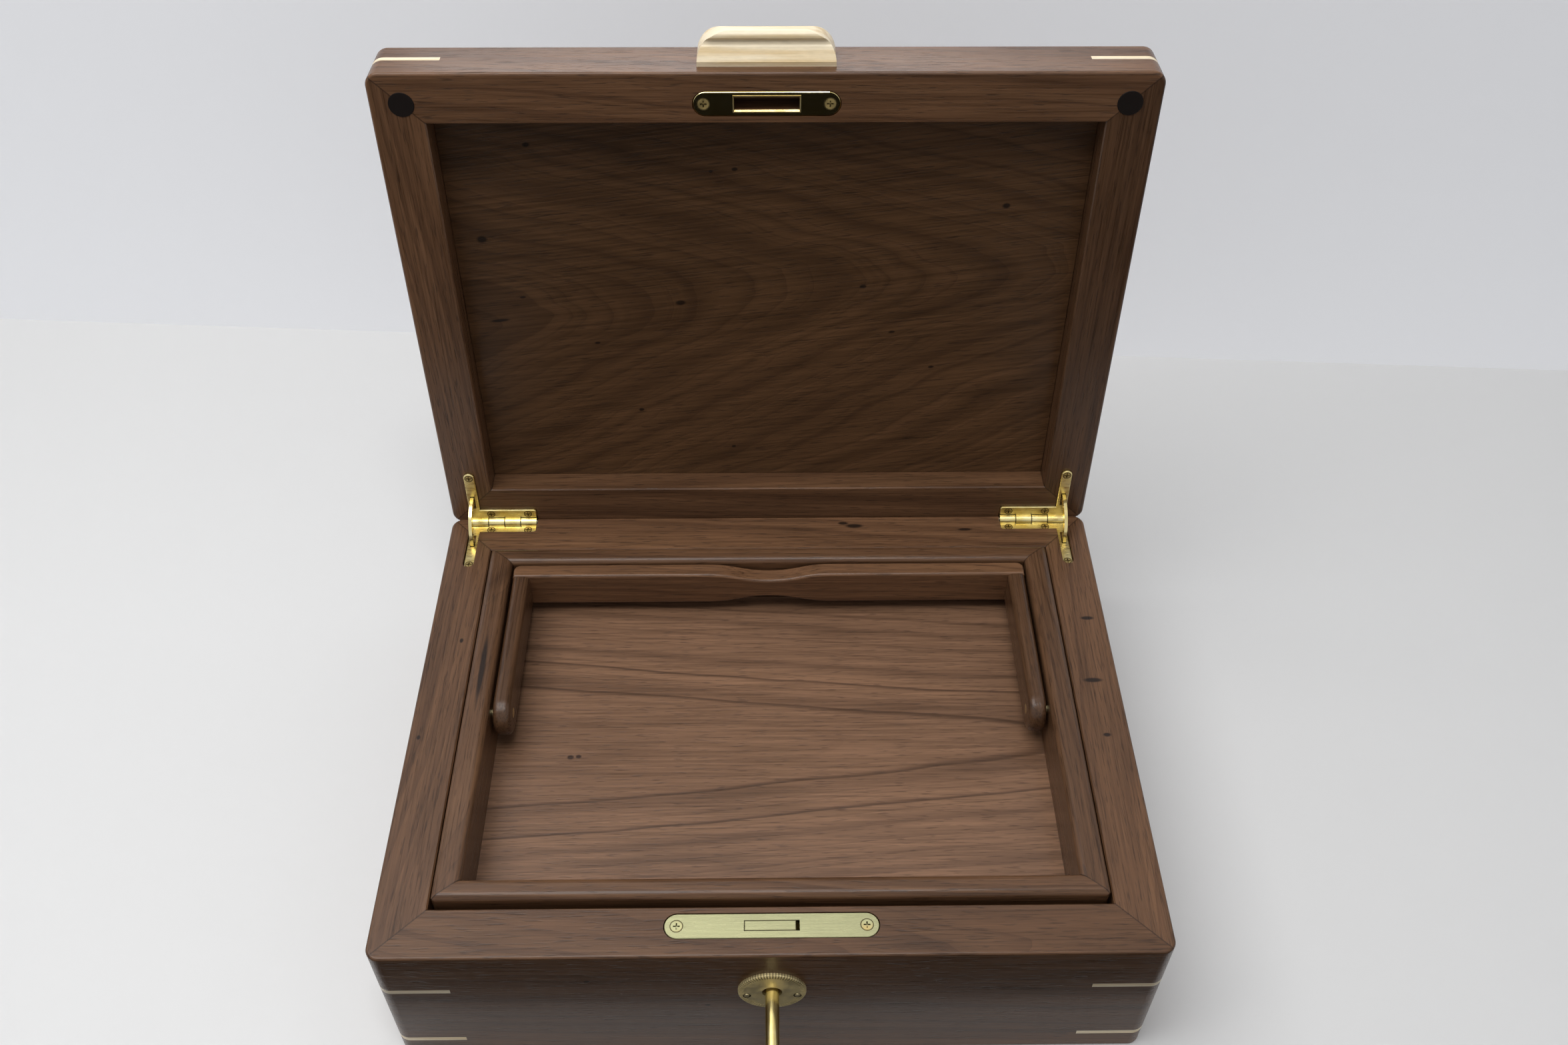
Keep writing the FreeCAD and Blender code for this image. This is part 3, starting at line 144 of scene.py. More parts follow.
def add(tree, kind, inputs=None, **settings):
    """Adds a shader node, sets it up and feeds its inputs from fixed values, sockets, or the first output in
    use of other nodes. A Map Range takes its value at 0, its range at 1 and 2 and the new range at 3 and 4; a
    Mix takes its factor at 0 and its two colours at 6 and 7."""
    node = tree.nodes.new("ShaderNode" + kind)
    for name, value in settings.items():
        setattr(node, name, value)
    for socket, value in (inputs or {}).items():
        if isinstance(value, bpy.types.Node):
            value = next(output for output in value.outputs if output.enabled)
        if isinstance(value, bpy.types.NodeSocket):
            tree.links.new(value, node.inputs[socket])
        else:
            node.inputs[socket].default_value = value
    return node


def new_material(name):
    """An empty material and its tree."""
    material = bpy.data.materials.new(name)
    material.use_nodes = True
    material.node_tree.nodes.clear()
    return material, material.node_tree


def pale_rays(tree):
    """1 for the rays by which the eye, metal and glass see things, and 0 for those that light the box."""
    rays = add(tree, "LightPath").outputs
    seen = add(tree, "Math", {0: rays["Is Camera Ray"], 1: rays["Is Glossy Ray"]}, operation="MAXIMUM")
    return add(tree, "Math", {0: seen, 1: rays["Is Transmission Ray"]}, operation="MAXIMUM")


def dress(material, *nodes):
    """Gives a material to CAD nodes."""
    for name in nodes:
        for slot in frame["nodes"][name].material_slots:
            slot.material = material


def colour(name, description, hex_colour):
    """A colour that a user may change."""
    return FloatVectorProperty(name=name, description=description, subtype="COLOR", size=4,
                               min=0.0, max=1.0, default=linear(hex_colour))


def length(name, description, millimetres):
    """A length that a user may change."""
    return FloatProperty(name=name, description=description, unit="LENGTH", min=0.0,
                         default=millimetres * MM, precision=5)


def share(name, description, default):
    """A share from 0 to 1 that a user may change."""
    return FloatProperty(name=name, description=description, subtype="FACTOR", min=0.0, max=1.0,
                         default=default)


def power(name, description, watts):
    """A lamp's power that a user may change."""
    return FloatProperty(name=name, description=description, subtype="POWER", min=0.0, default=watts)


class WallWalnutLook(bpy.types.PropertyGroup):
    """Walnut of the walls, rims and handle."""

    pale: colour("Pale wood", "Early wood between the dark rings", "#73543B")
    middle: colour("Middle wood", "Most of the board", "#644731")
    dark: colour("Dark wood", "Late wood and heart streaks", "#402A1C")
    pore: colour("Pores", "Open pores, filled dark by the oil", "#20150E")
    ring: length("Ring width", "Distance between growth rings", 3.6)
    wander: length("Wander", "How far the rings stray from true circles", 5.0)
    figure: share("Figure", "Contrast between pale and dark rings", 0.38)
    gloss: share("Roughness", "Roughness of the oiled surface", 0.3)


class PanelWalnutLook(bpy.types.PropertyGroup):
    """Figured walnut of the lid's panel."""

    pale: colour("Pale wood", "Light flashes of the figure", "#684A32")
    middle: colour("Middle wood", "Most of the panel", "#513924")
    dark: colour("Dark wood", "Shaded side of the figure", "#332114")
    pore: colour("Pores", "Open pores, filled dark by the oil", "#1B110A")
    ring: length("Ring width", "Distance between the bands of figure", 5.0)
    wander: length("Wander", "How far the bands stray from true circles", 13.0)
    figure: share("Figure", "Contrast between pale and dark bands", 0.36)
    gloss: share("Roughness", "Roughness of the oiled surface", 0.36)


class FloorWalnutLook(bpy.types.PropertyGroup):
    """Straight-grained walnut of the tray's floor and the hidden panels."""

    pale: colour("Pale wood", "Early wood between the dark rings", "#8C6A50")
    middle: colour("Middle wood", "Most of the board", "#7D5E48")
    dark: colour("Dark wood", "Late wood and heart streaks", "#503A2B")
    pore: colour("Pores", "Open pores, filled dark by the oil", "#33221A")
    ring: length("Ring width", "Distance between growth rings", 4.0)
    wander: length("Wander", "How far the rings stray from true circles", 4.0)
    figure: share("Figure", "Contrast between pale and dark rings", 0.4)
    gloss: share("Roughness", "Roughness of the oiled surface", 0.32)


class MapleLook(bpy.types.PropertyGroup):
    """Maple of the pull and the mitre keys."""

    pale: colour("Pale wood", "Early wood", "#F2E2C2")
    middle: colour("Middle wood", "Late wood lines", "#DFC596")
    gloss: share("Roughness", "Roughness of the lacquered surface", 0.32)


class BrassLook(bpy.types.PropertyGroup):
    """Brass of the hinges, the lock and the key."""

    polished: colour("Polished brass", "Buffed and lacquered fittings", "#F4E4A8")
    deep: colour("Deeper brass", "Where the lacquer lies thicker", "#EAD48A")
    satin: colour("Satin brass", "Linished lock plate and bolt", "#B2B086")
    aged: colour("Aged brass", "Lock case and screws", "#C4AE74")
    dull: colour("Dull brass", "Key plate, dulled by handling", "#D2C294")
    # This colour is painted shade in narrow cuts, recesses and between the ribs, and the dark of fine joints.
    shade_and_joints: colour("Grooves", "Dirt in cuts, recesses and between ribs", "#3A3120")


class KeyPlateLook(bpy.types.PropertyGroup):
    """Milled ribs on the key plate's rim."""

    count: IntProperty(name="Ribs", description="Number of ribs round the rim", min=3, max=200, default=72)
    length: length("Rib length", "Length of a rib, outwards", 1.6)
    width: length("Rib width", "Width of a rib", 0.55)
    height: length("Rib height", "How far a rib stands out of the plate", 0.1)
    margin: length("Margin", "From the ribs to the plate's edge", 0.5)


class StrikerLipLook(bpy.types.PropertyGroup):
    """Lip round the striker's slot."""

    length: length("Slot length", "Length of the striker's slot", 23.3)
    gap: length("Slot width", "Width of the striker's slot", 5.7)
    width: length("Ledge width", "Width of the lip's ledge on the plate", 0.4)
    height: length("Ledge height", "How far the lip stands out of the lid's rim", 0.2)
    ramp: length("Ramp width", "How far the lip's long sides slope into the slot", 0.5)
    depth: length("Ramp depth", "How deep the slopes go", 0.6)


class BufferLook(bpy.types.PropertyGroup):
    """The two buffers in the lid's rim."""

    face: colour("Buffer", "Dark rubber face", "#150E0B")


class StageLook(bpy.types.PropertyGroup):
    """Floor, lamps and surroundings."""

    floor: colour("Floor", "Pale painted table", "#E6E6E5")
    wall: colour("Wall", "Pale painted backdrop", "#E8E9EC")
    room: colour("Room light", "Soft grey light from all round", "#949496")
    far: colour("Background", "What shows past the floor's end", "#D6D7D9")
    flag: colour("Flag", "Dark card in front that keeps glare off the lid", "#1B1917")
    glow: share("Wall brightness", "Pale glow that the eye and the metal see on the wall", 0.22)
    key_power: power("Overhead lamp", "Power of the large lamp overhead at the left", 12.4)
    small_power: power("Small lamp", "Power of the small lamp that lines the rounded edges", 2.5)
    edge_power: power("Edge lamp", "Power of the strip lamp that skims the lid's top edge", 0.022)


class WatchBoxLook(bpy.types.PropertyGroup):
    """Everything that may be changed on the watch box."""

    walls: PointerProperty(type=WallWalnutLook)
    panel: PointerProperty(type=PanelWalnutLook)
    floor: PointerProperty(type=FloorWalnutLook)
    maple: PointerProperty(type=MapleLook)
    brass: PointerProperty(type=BrassLook)
    key_plate: PointerProperty(type=KeyPlateLook)
    lip: PointerProperty(type=StrikerLipLook)
    buffer: PointerProperty(type=BufferLook)
    stage: PointerProperty(type=StageLook)


def board_space(node, turn):
    """Turn that lays a board's grain along X, with the middle and half size of the board so turned, in mm."""
    rotation = Euler([math.radians(a) for a in turn])
    matrix = rotation.to_matrix()
    points = [matrix @ (v.co / MM) for v in frame["nodes"][node].data.vertices]
    low = Vector([min(p[i] for p in points) for i in range(3)])
    high = Vector([max(p[i] for p in points) for i in range(3)])
    return rotation, (low + high) / 2, (high - low) / 2


def new_piece(name, shape, body, material):
    """A finished piece from a shape in mm, riding on a body."""
    bmesh.ops.scale(shape, vec=(MM,) * 3, verts=shape.verts)
    mesh = bpy.data.meshes.new(name)
    shape.to_mesh(mesh)
    shape.free()
    mesh.materials.append(material)
    piece = bpy.data.objects.new(name, mesh)
    bpy.context.scene.collection.objects.link(piece)
    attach(piece, body)


def walnut(node, look, turn=(0, 0, 0), heart=(0, 0, 0), taper=0.0, mitre=None, knots=(), lines=(), calm=None,
           bright=1.0, fade=0.0):
    """Black walnut, sanded and wiped with oil: brown rings round the tree's heart, short dark pores that run
    with the grain, and a satin sheen that turns grey at a low angle. heart is the board's middle as seen from
    the heart of the tree, in mm along, across and through the board. taper slants the rings along it. mitre
    says how its ends are cut. knots are places on the object in mm with their half length and half width.
    lines are the radii of dark rings in mm with their width. calm is the radius inside which the rings fade.
    bright is how pale the board is beside its neighbours: partly its own tone, partly painted light and
    shade. fade is painted light: how much paler the board gets per 100 mm across it."""
    material, tree = new_material("oiled_black_walnut." + node)
    rotation, middle, half = board_space(node, turn)
    place = add(tree, "TexCoord").outputs["Object"]
    board = add(tree, "Mapping", {"Vector": place, "Location": -middle, "Rotation": rotation,
                                  "Scale": (1 / MM,) * 3})
    log = add(tree, "VectorMath", {0: board, 1: heart}, operation="ADD")
    noise = {}
    for trait, (long, wide, detail, coarse) in WALNUT_GRAIN.items():
        cells = add(tree, "VectorMath", {0: log, 1: (1 / long, 1 / wide, 1 / wide)}, operation="MULTIPLY")
        noise[trait] = add(tree, "TexNoise", {"Vector": cells, "Scale": 1.0, "Detail": detail,
                                              "Roughness": coarse})

    # The distance from the heart, which strays slowly from true circles.
    across = add(tree, "VectorMath", {0: log, 1: (0, 1, 1)}, operation="MULTIPLY")
    radius = add(tree, "VectorMath", {0: across}, operation="LENGTH")
    along = add(tree, "SeparateXYZ", {0: log}).outputs["X"]
    slanted = add(tree, "Math", {0: along, 1: taper, 2: radius}, operation="MULTIPLY_ADD")
    ring = add(tree, "Math", {0: noise["stray"], 1: 2 * look.wander / MM, 2: slanted},
               operation="MULTIPLY_ADD")

    # Rings of uneven width: a tone that drifts from ring to ring, and a dark line where each of them ends.
    count = add(tree, "Math", {0: ring, 1: look.ring / MM}, operation="DIVIDE")
    drift = add(tree, "TexNoise", {"W": count, "Scale": 0.4, "Detail": 1.0}, noise_dimensions="1D")
    uneven = add(tree, "Math", {0: drift, 1: 3.0, 2: count}, operation="MULTIPLY_ADD")
    tone = add(tree, "TexNoise", {"W": uneven, "Scale": 0.6, "Detail": 3.0, "Roughness": 0.6},
               noise_dimensions="1D")
    phase = add(tree, "Math", {0: uneven}, operation="FRACT")
    ended = add(tree, "Math", {0: phase, 1: 6.0}, operation="POWER")
    strength = look.figure
    if calm is not None:
        edge = calm + look.wander / MM
        strength = add(tree, "MapRange", {0: ring, 1: edge - 4, 2: edge,
                                          3: 0.25 * look.figure, 4: look.figure})
    early = add(tree, "MapRange", {0: tone, 1: 0.5, 2: 0.72, 4: strength})
    late = add(tree, "MapRange", {0: tone, 1: 0.5, 2: 0.3, 4: strength})
    ends = add(tree, "Math", {0: ended, 1: strength}, operation="MULTIPLY")
    wood = add(tree, "Mix", {0: early, 6: look.middle, 7: look.pale}, data_type="RGBA")
    wood = add(tree, "Mix", {0: late, 6: wood, 7: look.dark}, data_type="RGBA")
    wood = add(tree, "Mix", {0: ends, 6: wood, 7: look.dark}, data_type="RGBA")
    for at, width in lines:
        at += look.wander / MM
        rise = add(tree, "MapRange", {0: ring, 1: at - width, 2: at, 4: 0.85},
                   interpolation_type="SMOOTHSTEP")
        fall = add(tree, "MapRange", {0: ring, 1: at + width / 3, 2: at}, interpolation_type="SMOOTHSTEP")
        line = add(tree, "Math", {0: rise, 1: fall}, operation="MULTIPLY")
        wood = add(tree, "Mix", {0: line, 6: wood, 7: look.dark}, data_type="RGBA")

    # Fibres, streaks and clouds shade the board; what the last two add on average is taken off with the fade,
    # which is painted light that makes the board paler across it.
    shade = add(tree, "MapRange", {0: noise["fibre"], **NOISE_SPAN, 3: 0.74, 4: 1.28})
    for trait in ("streak", "cloud"):
        shade = add(tree, "Math", {0: noise[trait], 1: 0.5, 2: shade}, operation="MULTIPLY_ADD")
    level = add(tree, "SeparateXYZ", {0: board}).outputs["Y"]
    level = add(tree, "Math", {0: level, 1: fade / 100, 2: -0.5}, operation="MULTIPLY_ADD")
    shade = add(tree, "Math", {0: shade, 1: level}, operation="ADD")
    # bright makes the whole board paler or darker: partly its own tone, partly painted light and shade.
    shade = add(tree, "Math", {0: shade, 1: bright}, operation="MULTIPLY")
    wood = add(tree, "VectorMath", {0: wood, "Scale": shade}, operation="SCALE")
    pore = add(tree, "MapRange", {0: noise["pore"], 1: 0.58, 2: 0.7}, interpolation_type="SMOOTHSTEP")
    dotted = add(tree, "Math", {0: pore, 1: 0.45}, operation="MULTIPLY")
    wood = add(tree, "Mix", {0: dotted, 6: wood, 7: look.pore}, data_type="RGBA")

    # Pin knots: small dark eyes, a little drawn out.
    for x, y, z, long, wide in knots:
        spot = add(tree, "Mapping", {"Vector": place, "Rotation": rotation, "Scale": (1 / MM,) * 3,
                                     "Location": -(rotation.to_matrix() @ Vector((x, y, z)))})
        eye = add(tree, "VectorMath", {0: spot, 1: (1 / long, 1 / wide, 1 / wide)}, operation="MULTIPLY")
        away = add(tree, "VectorMath", {0: eye}, operation="LENGTH")
        dark = add(tree, "MapRange", {0: away, 1: 1.0, 2: 0.45, 4: 0.95}, interpolation_type="SMOOTHSTEP")
        wood = add(tree, "Mix", {0: dark, 6: wood, 7: look.pore}, data_type="RGBA")

    # The glue line shows as a hair-thin dark seam at each mitre.
    if mitre:
        inner, lost, run = mitre
        slant = run / (2 * half.y)
        parts = add(tree, "SeparateXYZ", {0: board}).outputs
        ends = add(tree, "Math", {0: parts["X"]}, operation="ABSOLUTE")
        slope = add(tree, "Math", {0: parts["Y"], 1: inner * slant, 2: ends}, operation="MULTIPLY_ADD")
        gap = add(tree, "Math", {0: slope, 1: half.x + lost - run / 2}, operation="SUBTRACT")
        gap = add(tree, "Math", {0: gap}, operation="ABSOLUTE")
        seam = add(tree, "MapRange", {0: gap, 1: 0.5, 2: 0.1, 4: 0.65})
        wood = add(tree, "Mix", {0: seam, 6: wood, 7: look.pore}, data_type="RGBA")

    sunk = add(tree, "Math", {0: pore, 1: -1.0, 2: noise["fibre"]}, operation="MULTIPLY_ADD")
    relief = add(tree, "Bump", {"Strength": 0.25, "Distance": 0.15 * MM, "Height": sunk})
    rough = add(tree, "MapRange", {0: noise["fibre"], **NOISE_SPAN,
                                   3: look.gloss - 0.05, 4: look.gloss + 0.07})
    shader = add(tree, "BsdfPrincipled", {"Base Color": wood, "Roughness": rough, "IOR": WOOD_IOR,
                                          "Specular IOR Level": 0.28, "Coat Weight": 0.1,
                                          "Coat Roughness": 0.16, "Normal": relief})
    add(tree, "OutputMaterial", {"Surface": shader})
    dress(material, node)


def maple(node, look, turn=(0, 0, 0)):
    """Hard maple, planed and lacquered: cream, close-grained, with faint tan rings and short silvery rays."""
    material, tree = new_material("lacquered_maple." + node)
    rotation, middle, _ = board_space(node, turn)
    place = add(tree, "TexCoord").outputs["Object"]
    board = add(tree, "Mapping", {"Vector": place, "Location": -middle, "Rotation": rotation,
                                  "Scale": (1 / MM,) * 3})
    drawn = add(tree, "VectorMath", {0: board, 1: (1 / 60, 1 / 2.4, 1 / 2.4)}, operation="MULTIPLY")
    rings = add(tree, "TexNoise", {"Vector": drawn, "Scale": 1.0, "Detail": 3.0})
    # Rays are drawn 3 mm long and 0.7 mm wide, about twice as coarse as real ones, so that they show.
    flecks = add(tree, "VectorMath", {0: board, 1: (1 / 3, 1 / 0.7, 1 / 0.7)}, operation="MULTIPLY")
    rays = add(tree, "TexNoise", {"Vector": flecks, "Scale": 1.0, "Detail": 2.0})
    late = add(tree, "MapRange", {0: rings, 1: 0.42, 2: 0.68}, interpolation_type="SMOOTHSTEP")
    wood = add(tree, "Mix", {0: late, 6: look.pale, 7: look.middle}, data_type="RGBA")
    shade = add(tree, "MapRange", {0: rays, **NOISE_SPAN, 3: 0.95, 4: 1.04})
    wood = add(tree, "VectorMath", {0: wood, "Scale": shade}, operation="SCALE")
    rough = add(tree, "MapRange", {0: rays, **NOISE_SPAN, 3: look.gloss - 0.04, 4: look.gloss + 0.08})
    relief = add(tree, "Bump", {"Strength": 0.1, "Distance": 0.05 * MM, "Height": rings})
    shader = add(tree, "BsdfPrincipled", {"Base Color": wood, "Roughness": rough, "IOR": WOOD_IOR,
                                          "Normal": relief})
    add(tree, "OutputMaterial", {"Surface": shader})
    dress(material, node)


def heads(node, axis):
    """Round heads of a node on the box's right: the middle and radius in mm of each, and the axis it faces."""
    points = [v.co / MM for v in frame["nodes"][node].data.vertices if v.co.x > 0]
    outermost = max(p.dot(axis) for p in points)
    groups = []
    for point in (p for p in points if p.dot(axis) > outermost - TOUCH):
        group = next((g for g in groups if (g[0] - point).length < HEADS_APART), None)
        if group is None:
            groups.append([point])
        else:
            group.append(point)
    middles = [sum(group, Vector()) / len(group) for group in groups]
    return [(middle, max((p - middle).length for p in group), axis) for middle, group in zip(middles, groups)]


def brass(name, bright, deep, rough, stroke, shade_and_joints, ribs=None, rings=(), splits=(), rim=None):
    """Brass plate or rod, worked with strokes of the given size in mm: mirror-like where buffed, milky where
    linished, with faint darker patches in the lacquer, and painted shade in its narrow cuts. ribs are the
    cuts of a milled rim on a plate that faces the front, drawn as painted shade that is darker towards the
    top: its middle and the radius where they start, in mm, and how many there are. rings are round heads,
    each with a dark line round it, and splits the places in mm along X where a hinge's barrel is cut into
    knuckles; both are the same on the box's left and right. rim is the middle and half size in mm of a face
    that looks up, with a dark line round it."""
    material, tree = new_material(name)
    place = add(tree, "TexCoord").outputs["Object"]
    size = add(tree, "Mapping", {"Vector": place, "Scale": (1 / MM,) * 3})
    clouds = add(tree, "TexNoise", {"Vector": size, "Scale": 1 / BRASS_PATCH, "Detail": 2.0})
    drawn = add(tree, "VectorMath", {0: size, 1: [1 / s for s in stroke]}, operation="MULTIPLY")
    strokes = add(tree, "TexNoise", {"Vector": drawn, "Scale": 1.0, "Detail": 2.0})
    patch = add(tree, "MapRange", {0: clouds, 1: 0.35, 2: 0.7}, interpolation_type="SMOOTHSTEP")
    metal = add(tree, "Mix", {0: patch, 6: bright, 7: deep}, data_type="RGBA")
    if ribs:
        middle, start, number = ribs
        spoke = add(tree, "VectorMath", {0: size, 1: middle}, operation="SUBTRACT")
        parts = add(tree, "SeparateXYZ", {0: spoke}).outputs
        angle = add(tree, "Math", {0: parts["X"], 1: parts["Z"]}, operation="ARCTAN2")
        wave = add(tree, "Math", {0: angle, 1: number}, operation="MULTIPLY")
        wave = add(tree, "Math", {0: wave}, operation="SINE")
        flat = add(tree, "VectorMath", {0: spoke, 1: (1, 0, 1)}, operation="MULTIPLY")
        away = add(tree, "VectorMath", {0: flat}, operation="LENGTH")
        # Painted shade: the drawn cuts are darker towards the top and fade out towards the bottom.
        shade_towards_top = add(tree, "MapRange", {0: parts["Z"], 1: -4.0, 2: 6.0, 3: 0.1, 4: 0.6})
        band = add(tree, "MapRange", {0: away, 1: start, 2: start + 0.3, 4: shade_towards_top})
        cut = add(tree, "MapRange", {0: wave, 1: -0.2, 2: 0.8, 4: band})
        metal = add(tree, "Mix", {0: cut, 6: metal, 7: shade_and_joints}, data_type="RGBA")

    # Painted shade: cuts less than about 1 mm wide, closed in for the ambient occlusion, are darkened.
    open_sky = add(tree, "AmbientOcclusion", {"Distance": 1.0 * MM}, samples=16).outputs["AO"]
    painted_cut_shade = add(tree, "MapRange", {0: open_sky, 1: 0.62, 2: 0.25, 4: 0.9}, interpolation_type="SMOOTHSTEP")
    metal = add(tree, "Mix", {0: painted_cut_shade, 6: metal, 7: shade_and_joints}, data_type="RGBA")

    # Joints finer than a pixel are drawn about 0.4 mm wide, so that they show.
    if rings or splits:
        mirrored = add(tree, "VectorMath", {0: size}, operation="ABSOLUTE")
        wide = add(tree, "SeparateXYZ", {0: mirrored}).outputs["X"]
        right = add(tree, "VectorMath", {0: size, 1: (0, 1, 1)}, operation="MULTIPLY")
        right = add(tree, "VectorMath", {0: right, 1: add(tree, "CombineXYZ", {0: wide})}, operation="ADD")
    for middle, radius, axis in rings:
        spoke = add(tree, "VectorMath", {0: right, 1: middle}, operation="SUBTRACT")
        spoke = add(tree, "VectorMath", {0: spoke, 1: axis}, operation="CROSS_PRODUCT")
        away = add(tree, "VectorMath", {0: spoke}, operation="LENGTH")
        away = add(tree, "Math", {0: away, 1: radius - 0.1}, operation="SUBTRACT")
        away = add(tree, "Math", {0: away}, operation="ABSOLUTE")
        line = add(tree, "MapRange", {0: away, 1: 0.4, 2: 0.2, 4: JOINT_DARK})
        metal = add(tree, "Mix", {0: line, 6: metal, 7: shade_and_joints}, data_type="RGBA")
    for split in splits:
        spoke = add(tree, "VectorMath", {0: right, 1: PIN}, operation="SUBTRACT")
        spoke = add(tree, "VectorMath", {0: spoke, 1: (0, 1, 1)}, operation="MULTIPLY")
        away = add(tree, "VectorMath", {0: spoke}, operation="LENGTH")
        near = add(tree, "MapRange", {0: away, 1: BARREL_RADIUS + 0.2, 2: BARREL_RADIUS + 0.05, 4: JOINT_DARK})
        away = add(tree, "Math", {0: wide, 1: split}, operation="SUBTRACT")
        away = add(tree, "Math", {0: away}, operation="ABSOLUTE")
        line = add(tree, "MapRange", {0: away, 1: 0.32, 2: 0.15, 4: near})
        metal = add(tree, "Mix", {0: line, 6: metal, 7: shade_and_joints}, data_type="RGBA")
    if rim:
        middle, half = rim
        inset = add(tree, "VectorMath", {0: size, 1: middle}, operation="SUBTRACT")
        inset = add(tree, "VectorMath", {0: inset}, operation="ABSOLUTE")
        inset = add(tree, "VectorMath", {0: half, 1: inset}, operation="SUBTRACT")
        parts = add(tree, "SeparateXYZ", {0: inset}).outputs
        near = add(tree, "Math", {0: parts["X"], 1: parts["Y"]}, operation="MINIMUM")
        line = add(tree, "MapRange", {0: near, 1: 0.35, 2: 0.15, 4: JOINT_DARK})
        metal = add(tree, "Mix", {0: line, 6: metal, 7: shade_and_joints}, data_type="RGBA")

    worked = add(tree, "MapRange", {0: strokes, **NOISE_SPAN, 3: rough * 0.75, 4: rough * 1.3})
    relief = add(tree, "Bump", {"Strength": 0.06, "Distance": 0.05 * MM, "Height": strokes})
    shader = add(tree, "BsdfPrincipled", {"Base Color": metal, "Metallic": 1.0, "Roughness": worked,
                                          "Normal": relief})
    add(tree, "OutputMaterial", {"Surface": shader})
    return material


class WATCHBOX_OT_base_boards(bpy.types.Operator):
    """Walnut for the base's walls, bottom and tray bearers"""

    bl_idname = "watchbox.base_boards"
    bl_label = "Base boards"

    def execute(self, context):
        look = context.scene.watch_box
        # Each board's bright is partly its own tone and partly painted light and shade, set board by board.
        walnut("base_front", look.walls, heart=(40, 31, 70), taper=0.05, mitre=BOX_FRONT, bright=0.88,
               knots=((-65.1, -105.2, 55.7, 1.6, 0.9), (-23.2, -105.2, 36.6, 1.4, 0.9)))
        walnut("base_back", look.walls, heart=(-210, 55, 44), taper=0.04, mitre=BOX_BACK, bright=1.2,
               knots=((37.8, 99.3, 73, 5, 1.6), (86.6, 96.8, 73, 4, 1.0), (32.9, 101, 73, 3, 1.2)))
        walnut("base_left", look.walls, turn=(0, 0, -90), heart=(130, -70, 38), taper=-0.06, mitre=BOX_BACK,
               bright=0.92, knots=((-126.4, 35.4, 73, 1.6, 1.0), (-136.1, -12.8, 73, 1.4, 1.0)))
        walnut("base_right", look.walls, turn=(0, 0, -90), heart=(320, 62, 52), taper=0.05, mitre=BOX_FRONT,
               bright=1.05, knots=((132.5, 45.2, 73, 1.3, 3.6), (129.6, 12.7, 73, 1.5, 5.0),
                                   (130.8, -14, 73, 1.2, 2.0)))
        walnut("base_bottom", look.floor, heart=(0, 20, 60), taper=0.05)
        walnut("tray_bearers", look.floor, turn=(0, 0, -90), heart=(0, 60, 30))
        return {"FINISHED"}


class WATCHBOX_OT_lid_boards(bpy.types.Operator):
    """Walnut for the lid's walls"""

    bl_idname = "watchbox.lid_boards"
    bl_label = "Lid boards"

    def execute(self, context):
        look = context.scene.watch_box.walls
        # Each board's bright is partly its own tone and partly painted light and shade, set board by board.
        for node, yaw, heart, taper, mitre, bright in (
                ("lid_front", 0, (60, -48, 51), 0.05, BOX_FRONT, 1.15),
                ("lid_back", 0, (-330, 64, 36), -0.04, BOX_BACK, 1.0),
                ("lid_left", -90, (510, 58, 47), 0.05, BOX_BACK, 1.15),
                ("lid_right", -90, (-520, -66, 40), 0.04, BOX_FRONT, 0.75)):
            walnut(node, look, turn=(LID_OPEN, 0, yaw), heart=heart, taper=taper, mitre=mitre, bright=bright)
        return {"FINISHED"}


class WATCHBOX_OT_lid_panel(bpy.types.Operator):
    """Figured walnut for the lid's panel"""

    bl_idname = "watchbox.lid_panel"
    bl_label = "Lid panel"

    def execute(self, context):
        look = context.scene.watch_box.panel
        # Places on the panel's inside with the lid shut, each with the half length and half width of its eye.
        eyes = ((-88.6, -72.7, 1.8, 1.3), (-110.1, -32.9, 2.6, 2.0), (-34.8, -3.5, 2.6, 1.5),
                (37.9, -10.8, 1.8, 1.1), (91.1, -46.8, 2.0, 1.5), (-53.8, 50.4, 1.5, 1.0),
                (-12.1, -62.5, 1.5, 1.0), (-21.0, -61.6, 1.0, 0.8), (-97.5, -6.4, 1.6, 0.7),
                (-107.9, 4.7, 5.0, 0.9), (-69.6, 15.8, 1.6, 0.8), (50.5, 11.0, 1.8, 0.8),
                (-15.0, 70.8, 1.3, 0.8), (67.8, 28.7, 1.6, 0.8))
        knots = [(*LID_TURN @ Vector((x, y, PANEL_INSIDE)), long, wide) for x, y, long, wide in eyes]
        # Painted light: fade makes the panel paler across it towards its lower edge by the hinge, as if lit from
        # the tray below; bright is partly the panel's own tone and partly painted light.
        walnut("lid_panel", look, turn=(LID_OPEN, 0, 7), heart=(0, 10, 22), taper=0.36, bright=1.12, fade=0.18,
               knots=knots)
        return {"FINISHED"}


